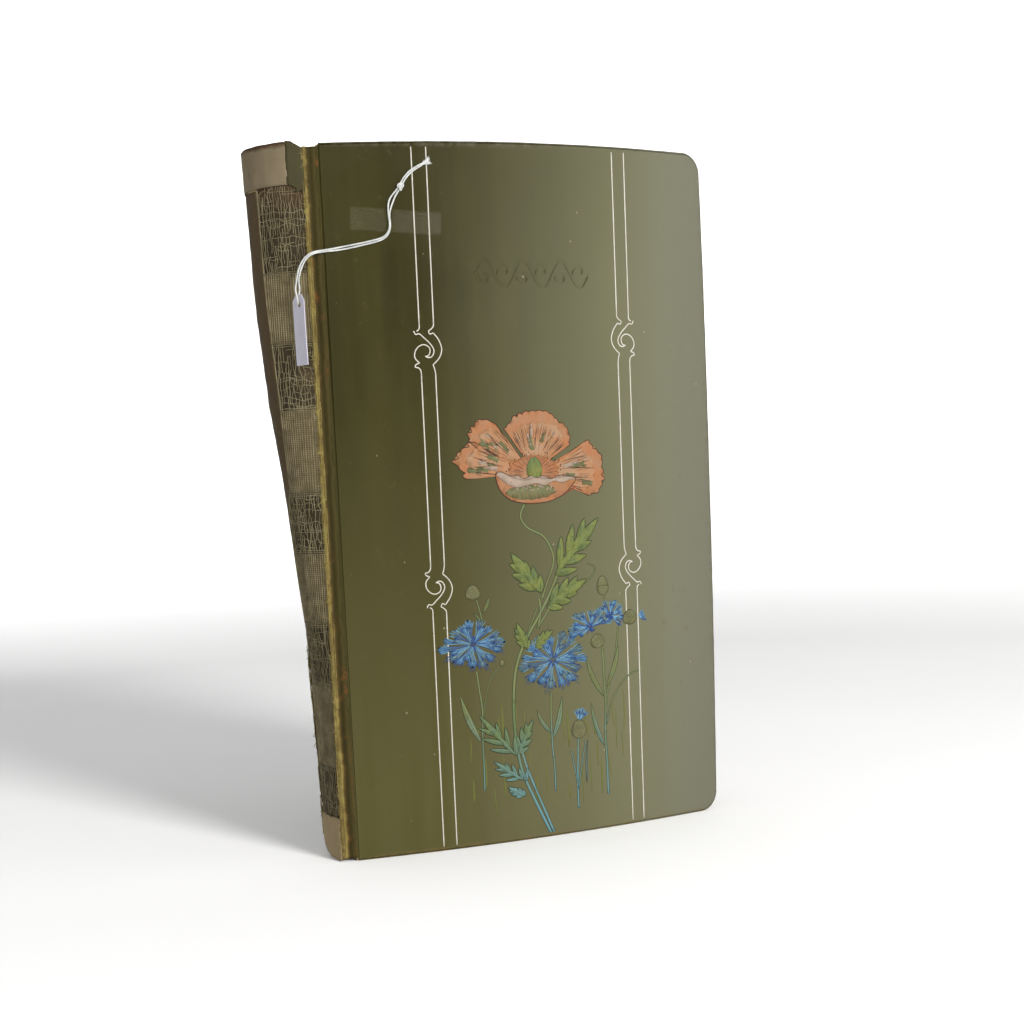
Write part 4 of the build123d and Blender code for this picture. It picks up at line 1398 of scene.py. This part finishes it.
def greenery(inks):
    """Stems, lobed leaves, buds and faint blades of grass."""
    heap = Heap()
    rng = random.Random(5)
    for points, width in STEMS:
        line = smooth_line(points, 6)
        side = np.gradient(line, axis=0)
        side = unit(np.stack([-side[:, 1], side[:, 0]], 1))
        split = int(len(line) * 0.6) if line[-1][1] < 45 else len(line) - 1
        printed_stroke(heap, line[:split + 1], width, 0.07, mark=STEM)
        if split < len(line) - 1:
            printed_stroke(heap, line[split:], width, 0.07, mark=TEAL)
        printed_stroke(heap, line + side * width * 0.6, 0.24, 0.09, mark=LINE)
        printed_stroke(heap, line - side * width * 0.6, 0.2, 0.09, mark=LINE)
    for root, tip, width in LOBED_LEAVES:
        lobed_leaf(heap, root, tip, width, TEAL if root[1] < TEAL_BELOW else LEAF)
    for root, tip, width, bend in PLAIN_LEAVES:
        reach = math.hypot(tip[0] - root[0], tip[1] - root[1])
        heading = math.degrees(math.atan2(tip[1] - root[1], tip[0] - root[0]))
        shape, midrib = almond(root, heading, reach, width, bend)
        printed_fill(heap, shape, 0.08, mark=STEM)
        printed_stroke(heap, shape, 0.32, 0.11, mark=LINE, closed=True)
        printed_stroke(heap, midrib[:-2], 0.34, 0.11, mark=LINE, taper=True)
    for (u, z), half_w, half_h in BUDS:
        shape = oval((u, z), half_w, half_h, 22, 0.2)
        printed_fill(heap, shape, 0.1, mark=BUD)
        printed_stroke(heap, shape, 0.36, 0.13, mark=LINE, closed=True)
        if half_w > 3:
            seeds(heap, u, z, half_w, half_h)
    for _ in range(34):
        u, z = rng.uniform(74, 172), rng.uniform(14, 62)
        tall = rng.uniform(10, 26)
        blade = [(u + 1.2 * wobble(u, share), z + tall * share) for share in (0, 0.25, 0.5, 0.75, 1)]
        printed_stroke(heap, blade, rng.uniform(0.5, 1.2), 0.045, mark=GRASS, taper=True)
    heap.piece("printed_leaves", inks, "front_cover")


# ------------------------------------------------------------------ string, ticket and tape
PLY_R = 0.31            # radius of one ply, and how far its middle is from its cord's
PLY_OFFSET = 0.22
PLY_PITCH = 2.6         # length of one turn of the twist
STEP_ALONG = 0.55


def route_points():
    points = []
    for u, z in COVER_ROUTE:
        x, y = cover_point(JOINT_X + u, -STRING_LIFT)
        points.append((x, y, z))
    points += [(JOINT_X + u, JOINT_Y + v, z) for u, v, z in DROP_ROUTE]
    return points


def string_line():
    """Points of the string's own smooth spline, in millimetres."""
    curve = bpy.data.curves.new("string_route", "CURVE")
    curve.dimensions = "3D"
    curve.resolution_u = 24
    spline = curve.splines.new("NURBS")
    route = route_points()
    spline.points.add(len(route) - 1)
    for point, place in zip(spline.points, route):
        point.co = (*(c * MM for c in place), 1.0)
    spline.order_u = 3
    spline.use_endpoint_u = True
    holder = bpy.data.objects.new("string_route", curve)
    bpy.context.scene.collection.objects.link(holder)
    mesh = bpy.data.meshes.new_from_object(holder)
    line = np.array([vert.co for vert in mesh.vertices]) / MM
    bpy.data.objects.remove(holder)
    bpy.data.curves.remove(curve)
    bpy.data.meshes.remove(mesh)
    if np.linalg.norm(line[0] - route[0]) > np.linalg.norm(line[-1] - route[0]):
        line = line[::-1]
    return line


def evenly(line, pitch):
    """The same line at an even pitch, and how far along each point is."""
    run = np.concatenate([[0], np.cumsum(np.linalg.norm(np.diff(line, axis=0), axis=1))])
    at = np.linspace(0, run[-1], int(run[-1] / pitch) + 1)
    return np.stack([np.interp(at, run, line[:, k]) for k in range(3)], 1), at


def ticket_axes():
    turn = math.radians(TICKET_TURN)
    across = np.array([math.sin(turn), -math.cos(turn), 0.0])
    return across, np.array([across[1], -across[0], 0.0])


def make_string(cotton):
    """Two cotton cords side by side, each of two twisted plies, that part over the ticket's head."""
    line = string_line()
    path, run = evenly(line, STEP_ALONG)
    total = run[-1]
    t = unit(np.gradient(path, axis=0))
    outward = np.tile([0.0, -1.0, 0.0], (len(path), 1))
    side = unit(np.cross(t, outward))
    _, facing = ticket_axes()
    near_ticket = np.clip((run - (total - 22)) / 10, 0, 1)[:, None]
    side = unit(side * (1 - near_ticket) + facing * near_ticket)
    # The cords lie close together and part at three places, the last of them over the ticket
    gap = 0.38 + 0.14 * np.sin(run / 7.0) + 0.75 * np.exp(-((run - 27) / 5) ** 2)
    gap += 0.35 * np.exp(-((run - 70) / 9) ** 2) + 0.85 * np.exp(-((run - (total - 7.5)) / 3.2) ** 2)
    up = 0.26 * np.cos(run / 6.3)
    heap = Heap()
    for strand in (-1, 1):
        cord = path + side * (gap * strand)[:, None] + outward * (up * strand)[:, None]
        for ply in range(2):
            turn = run * 2 * math.pi / PLY_PITCH + math.pi * ply + strand
            twist = np.cross(t, side)
            away = side * np.cos(turn)[:, None] + twist * np.sin(turn)[:, None]
            heap.add(*tube(cord + away * PLY_OFFSET, PLY_R, 7))
    stands_for = ["string_on_cover", "string_over_joint", "string_drop"]
    piece = heap.piece("string", cotton, None, replaces=stands_for, slot="string_cotton")
    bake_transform(piece)
    return piece, path, total


def make_knot(cotton):
    """An overhand knot: one closed three-lobed loop of cord."""
    turn = np.linspace(0, 2 * math.pi, 90, endpoint=False)
    x, y = cover_point(JOINT_X + KNOT_AT[0], -1.5)
    scale = 0.52
    across = x + scale * (np.sin(turn) + 2 * np.sin(2 * turn))
    height = KNOT_AT[1] + scale * (np.cos(turn) - 2 * np.cos(2 * turn)) * 1.2
    loop = np.stack([across, y - 0.45 * np.sin(3 * turn), height], 1)
    heap = Heap()
    heap.add(*tube(loop, 0.4, 8, closed=True))
    heap.add(*tube(loop + np.array([0.25, -0.2, 0.3]), 0.3, 8, closed=True))
    return heap.piece("knot", cotton, "front_cover", replaces=["string_knot"], slot="string_cotton")


def make_tassel(cotton, path):
    """The string's cut ends, teased out into fibres."""
    rng = random.Random(3)
    heap = Heap()
    start = path[0]
    back = path[6] - path[0]
    back /= np.linalg.norm(back)
    for _ in range(80):
        spread = rng.uniform(-0.45, 0.45)
        rise = rng.uniform(-0.12, 0.25)
        length = rng.uniform(3.2, 5.8)
        side = np.array([-back[2], 0, back[0]])
        root = start + back * rng.uniform(0.0, 1.5) + side * rng.uniform(-0.3, 0.3)
        points = []
        for s in (0, 0.3, 0.6, 1.0):
            sweep = -back * s * length + side * spread * length * s * s * 0.9
            points.append(root + sweep + np.array([0, -rise * s * length * 0.4, 0]))
        heap.add(*tube(points, np.linspace(0.15, 0.08, 4), 5))
    return heap.piece("string_ends", cotton, "front_cover", slot="string_cotton")


def make_ticket(card):
    """A small card with two clipped corners, a punched hole and a slight curl."""
    across, facing = ticket_axes()
    origin = np.array([JOINT_X + TICKET_HOLE[0], JOINT_Y + TICKET_HOLE[1], TICKET_HOLE[2]])
    half, tall = TICKET_SIZE[0] / 2, TICKET_SIZE[1]
    shoulder = TICKET_TOP - TICKET_CLIP
    outline = [(-half + TICKET_CLIP, TICKET_TOP), (half - TICKET_CLIP, TICKET_TOP), (half, shoulder),
               (half, TICKET_TOP - tall), (-half, TICKET_TOP - tall), (-half, shoulder)]
    bm = bmesh.new()
    edges = []
    rings = [[bm.verts.new((a, b, 0)) for a, b in ring]
             for ring in (outline, oval((0.0, 0.0), TICKET_HOLE_R, TICKET_HOLE_R, 20))]
    for ring in rings:
        edges += [bm.edges.new(pair) for pair in zip(ring, ring[1:] + ring[:1])]
    bmesh.ops.triangle_fill(bm, edges=edges, use_beauty=True)
    for level in range(1, 16):
        cut(bm, 1, TICKET_TOP - level * tall / 16)
    for share in (-0.5, 0.0, 0.5):
        cut(bm, 0, half * share)

    def place(a, b, face):
        curl = 0.012 * a * a - 0.000315 * max(0.0, -b) ** 2
        return origin + across * a + np.array([0, 0, b]) + facing * (TICKET_T * (face - 0.5) + curl)

    verts, faces = thicken(bm, place)
    return link_mesh("ticket_card", verts, faces, card, "text_block", replaces=["ticket"], slot="ticket_card",
                     smooth=False)


TAPE_CENTRE = (47.3, 340.4)
TAPE_SIZE = (50.0, 12.0)
TAPE_TURN = -4.0
# The string's route under the tape: heights, and places from the joint
UNDER_TAPE = ((330, 333, 337, 341, 345, 350), (39.5, 42.0, 43.3, 43.3, 43.3, 44.6))


def make_tape(clear):
    """Clear tape pressed over the string, its cut ends toothed."""
    turn = math.radians(TAPE_TURN)
    cols, rows = 110, 26
    top = np.zeros((cols + 1, rows + 1, 3))
    bottom = np.zeros_like(top)
    for i in range(cols + 1):
        for j in range(rows + 1):
            tooth = 0.35 * abs((j % 4) - 2) / 2
            half = TAPE_SIZE[0] / 2 - tooth
            a = -half + 2 * half * i / cols
            b = TAPE_SIZE[1] * (j / rows - 0.5)
            u = TAPE_CENTRE[0] + a * math.cos(turn) - b * math.sin(turn)
            z = TAPE_CENTRE[1] + a * math.sin(turn) + b * math.cos(turn)
            away = abs(u - float(np.interp(z, *UNDER_TAPE)))
            ridge = 1.5 * math.exp(-max(0.0, away - 0.75) ** 2 / 0.55)
            blister = 0.1 * max(0.0, wobble(u / 3, z / 3, 6.0)) + 0.03
            lift = 0.09 + ridge + blister
            top[i, j] = on_front(u, z, lift + 0.06)
            bottom[i, j] = on_front(u, z, lift)
    verts, faces = slab(top, bottom)
    link_mesh("clear_tape_strip", verts, faces, clear, "front_cover", replaces=["adhesive_tape"],
              slot="clear_tape")


# ------------------------------------------------------------------ leaves
GUARD_FOLD = (-0.6, 0.6)     # two places on a guard, either side of the leaf's fold line
# Half of a guard's section, from the stub to its end on the card: (place, half thickness)
GUARD_PROFILE = [(-1.6, 0.14), (-0.6, 0.14), (-0.3, 0.14), (0.0, 0.14), (0.3, 0.14), (0.6, 0.14), (1.0, 0.15),
                 (3.0, 0.16), (4.6, 0.18), (5.9, 0.22), (6.4, 0.36), (8.5, 0.38), (11.5, 0.38)]


def leaf_guard(index, linen):
    """The strip that joins a leaf's card to its sewn stub."""
    share = (index + 0.5) / LEAVES
    tail = STUB_CLEAR + (TAIL_DEPTH - 2 * STUB_CLEAR) * share
    head = STUB_CLEAR + (HEAD_DEPTH - 2 * STUB_CLEAR) * share
    lean = math.asin((head - tail) / math.hypot(HEIGHT, head - tail))
    along, up, front = sheet_axes(lean, math.radians(SPLAY * share))
    origin = Vector((JOINT_X + FOLD_U, JOINT_Y + tail, 0))
    bow = LEAF_BOW * max(0.0, 1 - 2 * share)

    def place(u, v, w):
        sag = 0.0
        if bow and u > 0:
            radius = ((LEAF_SPAN / 2) ** 2 + bow ** 2) / (2 * bow)
            sag = bow - radius + math.sqrt(radius ** 2 - (u - LEAF_SPAN / 2) ** 2)
        return tuple(origin + along * u + up * v + front * (w + sag))

    heights = steps(SQUARE + 0.6, HEIGHT - SQUARE - 0.6, 12.0)
    top = np.array([[place(u, v, w) for u, w in GUARD_PROFILE] for v in heights])
    bottom = np.array([[place(u, v, -w) for u, w in GUARD_PROFILE] for v in heights])
    verts, faces = slab(top, bottom)
    piece = link_mesh(f"leaf_guard_{index + 1:02d}", verts, faces, linen, None, slot="leaf_card")
    start, end = (tuple(c * MM for c in place(u, HEIGHT / 2, 0)) for u in GUARD_FOLD)
    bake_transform(piece)
    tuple(start)
    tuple(end)


# ------------------------------------------------------------------ making everything
def repaint(node, finish):
    """A CAD node that keeps its shape and gets its own finish."""
    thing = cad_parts[node]
    thing.data.materials.clear()
    thing.data.materials.append(finish.material)


set_camera()
set_lights()
make_floor()

cotton = thread_finish("white_cotton", (186, 187, 184), (150, 152, 150))
string, string_path, string_length = make_string(cotton)
knot = make_knot(cotton)
string_ends = make_tassel(cotton, string_path)
ticket_card = paper_finish("ticket_paper", (176, 174, 184), (162, 159, 171), (150, 146, 154), 700.0, 0.03)
ticket_piece = make_ticket(ticket_card)

clear = Finish("clear_tape", 0.3, Alpha=0.026, Specular_IOR_Level=0.3)
clear.paint(clear.ramp(clear.noise(90.0, 3.0), (0.3, (110, 106, 78)), (0.7, (140, 136, 112))))
clear.bump(clear.noise(260.0, 3.0), 0.12, 0.6)
make_tape(clear)

cloth = cover_cloth_finish()
joint_cloth = joint_cloth_finish()
cover_skin("front_cover_skin", on_front, front_inner, True, True, cloth, "front_cover", ["front_cover_cloth"])
cover_skin("back_cover_skin", on_back, back_inner, False, False, cloth, "back_cover", ["back_cover_cloth"])
joint_strip("front_joint_skin", front_inner, joint_cloth, ["front_joint_cloth"], 2.0)
joint_strip("back_joint_skin", back_inner, joint_cloth, ["back_joint_cloth"], 6.0, low=8.0)
yellow_thread = thread_finish("frayed_yellow", (132, 120, 68), (92, 76, 40))
fray("front_fray", front_inner, yellow_thread, 620, 21)
fray("back_fray", back_inner, yellow_thread, 160, 22, low=10.0)

board = paper_finish("grey_board", (150, 128, 96), (118, 96, 66), (92, 72, 48), 320.0, 0.1)
endpaper = paper_finish("endpaper", (214, 204, 178), (198, 186, 156), (170, 148, 108))
leaf_card = paper_finish("album_card", (186, 172, 142), (168, 152, 120), (140, 116, 80))
linen = paper_finish("guard_linen", (176, 162, 130), (156, 142, 110), (132, 112, 78), 700.0, 0.05)
stub_paper = paper_finish("stub_paper", (160, 142, 108), (136, 116, 84), (104, 82, 54))
for node in ("front_board", "back_board"):
    repaint(node, board)
for node in ("front_pastedown", "back_pastedown"):
    repaint(node, endpaper)
for index in range(LEAVES):
    repaint(f"leaf_{index + 1:02d}", leaf_card)
    leaf_guard(index, linen)
for index in range(LEAVES // 2):
    repaint(f"section_{index + 1}", stub_paper)

under_mull = spine_base_finish()
torn = [under_mull, thread_finish("torn_thread", (114, 106, 80), (80, 73, 52))]
whole = [under_mull, thread_finish("mull_thread", (115, 105, 79), (86, 77, 54))]
for number in range(1, 6):
    mull_zone(f"mull_torn_band_{number}", f"mull_open_{number}", True, torn, 40 + number)
for number in range(1, 5):
    mull_zone(f"mull_whole_band_{number}", f"mull_close_{number}", False, whole, 60 + number)

lining = paper_finish("brown_lining", (74, 61, 40), (46, 36, 22), (88, 75, 52), 400.0, 0.2,
                      stretch=(1, 1, 0.08))
spine_patch("spine_lining_strip", MULL_FULL_Z, 358.0, 0.05, 0.6, lining, ["spine_lining"], "lining_paper",
            3.0, ragged=(2.0, 0.2, 0.5, 0.1), edges=lambda z: (mull_end(z) - 0.4, full_run(z)), waves=0.3)
kraft = paper_finish("kraft_patch", (107, 96, 76), (92, 82, 63), (66, 49, 32), 420.0, 0.08,
                     rim=(377.4, 379.6, (58, 42, 26)))
spine_patch("kraft_head_patch", lambda s: 359.4 - 1.4 * s, lambda s: 381.0 - 2.0 * s, 0.66, 0.5, kraft,
            ["head_patch"], "head_patch_paper", 12.0, ragged=(0.25, 0.5, 0.5, 0.2),
            edges=lambda z: (spine_run(z, REMNANT_DEPTH), full_run(z)), waves=0.35)
dark_cloth = paper_finish("dark_spine_cloth", (60, 56, 34), (46, 43, 26), (74, 60, 36), 700.0, 0.1)
spine_patch("old_spine_cloth", 356.0, lambda s: 377.5 + 4.0 * min(1.0, s / 0.7), 0.6, 0.6, dark_cloth,
            ["spine_cloth_remnant"], "spine_cloth", 17.0, ragged=(2.0, 0.5, 0.0, 0.6), waves=0.3,
            edges=lambda z: (0.0, spine_run(z, REMNANT_DEPTH * (1.0 if z > 359 else 0.62)) + 0.3))
tail_paper = paper_finish("tail_patch_paper", (134, 119, 90), (114, 99, 72), (78, 60, 40), 420.0, 0.08)
spine_patch("brown_tail_patch", lambda s: 0.8 + 7.5 * s ** 3.5, 24.0, 0.6, 0.6, tail_paper, ["tail_patch"],
            "tail_patch_paper", 23.0, ragged=(0.1, 1.4, 0.5, 0.2), waves=0.3)

white_ink = ink_finish("pale_line_ink", (170, 167, 158), (152, 148, 136), (132, 128, 112), worn=0.5)
borders(white_ink)
tooling_shade(ink_finish("pressed_vine_ink", (46, 45, 26), (56, 54, 34), (66, 65, 46), worn=0.3))
petal_ink = ink_finish("petal_ink", (132, 84, 52), (122, 92, 68), (106, 78, 48), 160.0, worn=0.55)
pale_ink = ink_finish("petal_rim_ink", (134, 118, 106), (120, 104, 88), (92, 86, 66), worn=0.6)
brown_ink = ink_finish("outline_ink", (52, 28, 19), (44, 27, 19), (38, 25, 18), worn=0.15)
green_ink = ink_finish("seed_head_ink", (92, 96, 46), (70, 92, 58), (76, 82, 40))
bare_ink = ink_finish("bare_ink", (80, 79, 52), (88, 88, 58), (70, 70, 45), worn=0.4)
blush_ink = ink_finish("petal_blush_ink", (134, 93, 62), (126, 104, 82), (108, 82, 54), 160.0, worn=0.55)
red_ink = ink_finish("bowl_shading_ink", (126, 56, 40), (116, 62, 42), (92, 48, 34), worn=0.3)
poppy([petal_ink, pale_ink, green_ink, bare_ink, blush_ink, red_ink], brown_ink)
blue_ink = ink_finish("blue_ink", (54, 84, 112), (52, 78, 98), (66, 82, 70), worn=0.5)
deep_ink = ink_finish("deep_blue_ink", (30, 56, 104), (38, 68, 118), (28, 46, 80), worn=0.3)
navy_ink = ink_finish("navy_ink", (28, 42, 84), (36, 56, 104), (26, 36, 66), worn=0.3)
slate_ink = ink_finish("slate_ink", (62, 80, 80), (54, 70, 88), (64, 66, 48))
sky_ink = ink_finish("sky_ink", (92, 130, 148), (80, 118, 140), (74, 104, 108))
cornflowers([blue_ink, deep_ink, navy_ink, slate_ink, sky_ink])
leaf_ink = ink_finish("leaf_ink", (90, 97, 48), (70, 82, 50), (92, 94, 46), worn=0.5)
stem_ink = ink_finish("stem_ink", (94, 98, 58), (82, 96, 68), (78, 78, 44), 120.0,
                      foot=(75.0, 30.0, (80, 114, 118)))
dark_green = ink_finish("dark_green_ink", (34, 40, 26), (28, 36, 28), (34, 36, 22), worn=0.4)
grass_ink = ink_finish("grass_ink", (82, 84, 38), (76, 80, 38), (72, 72, 40), worn=0.7, under=(72, 69, 42))
teal_ink = ink_finish("teal_ink", (76, 90, 60), (80, 94, 58), (70, 92, 78),
                      foot=(62.0, 12.0, (80, 114, 118)))
greenery([leaf_ink, stem_ink, dark_green, grass_ink, teal_ink, bare_ink])
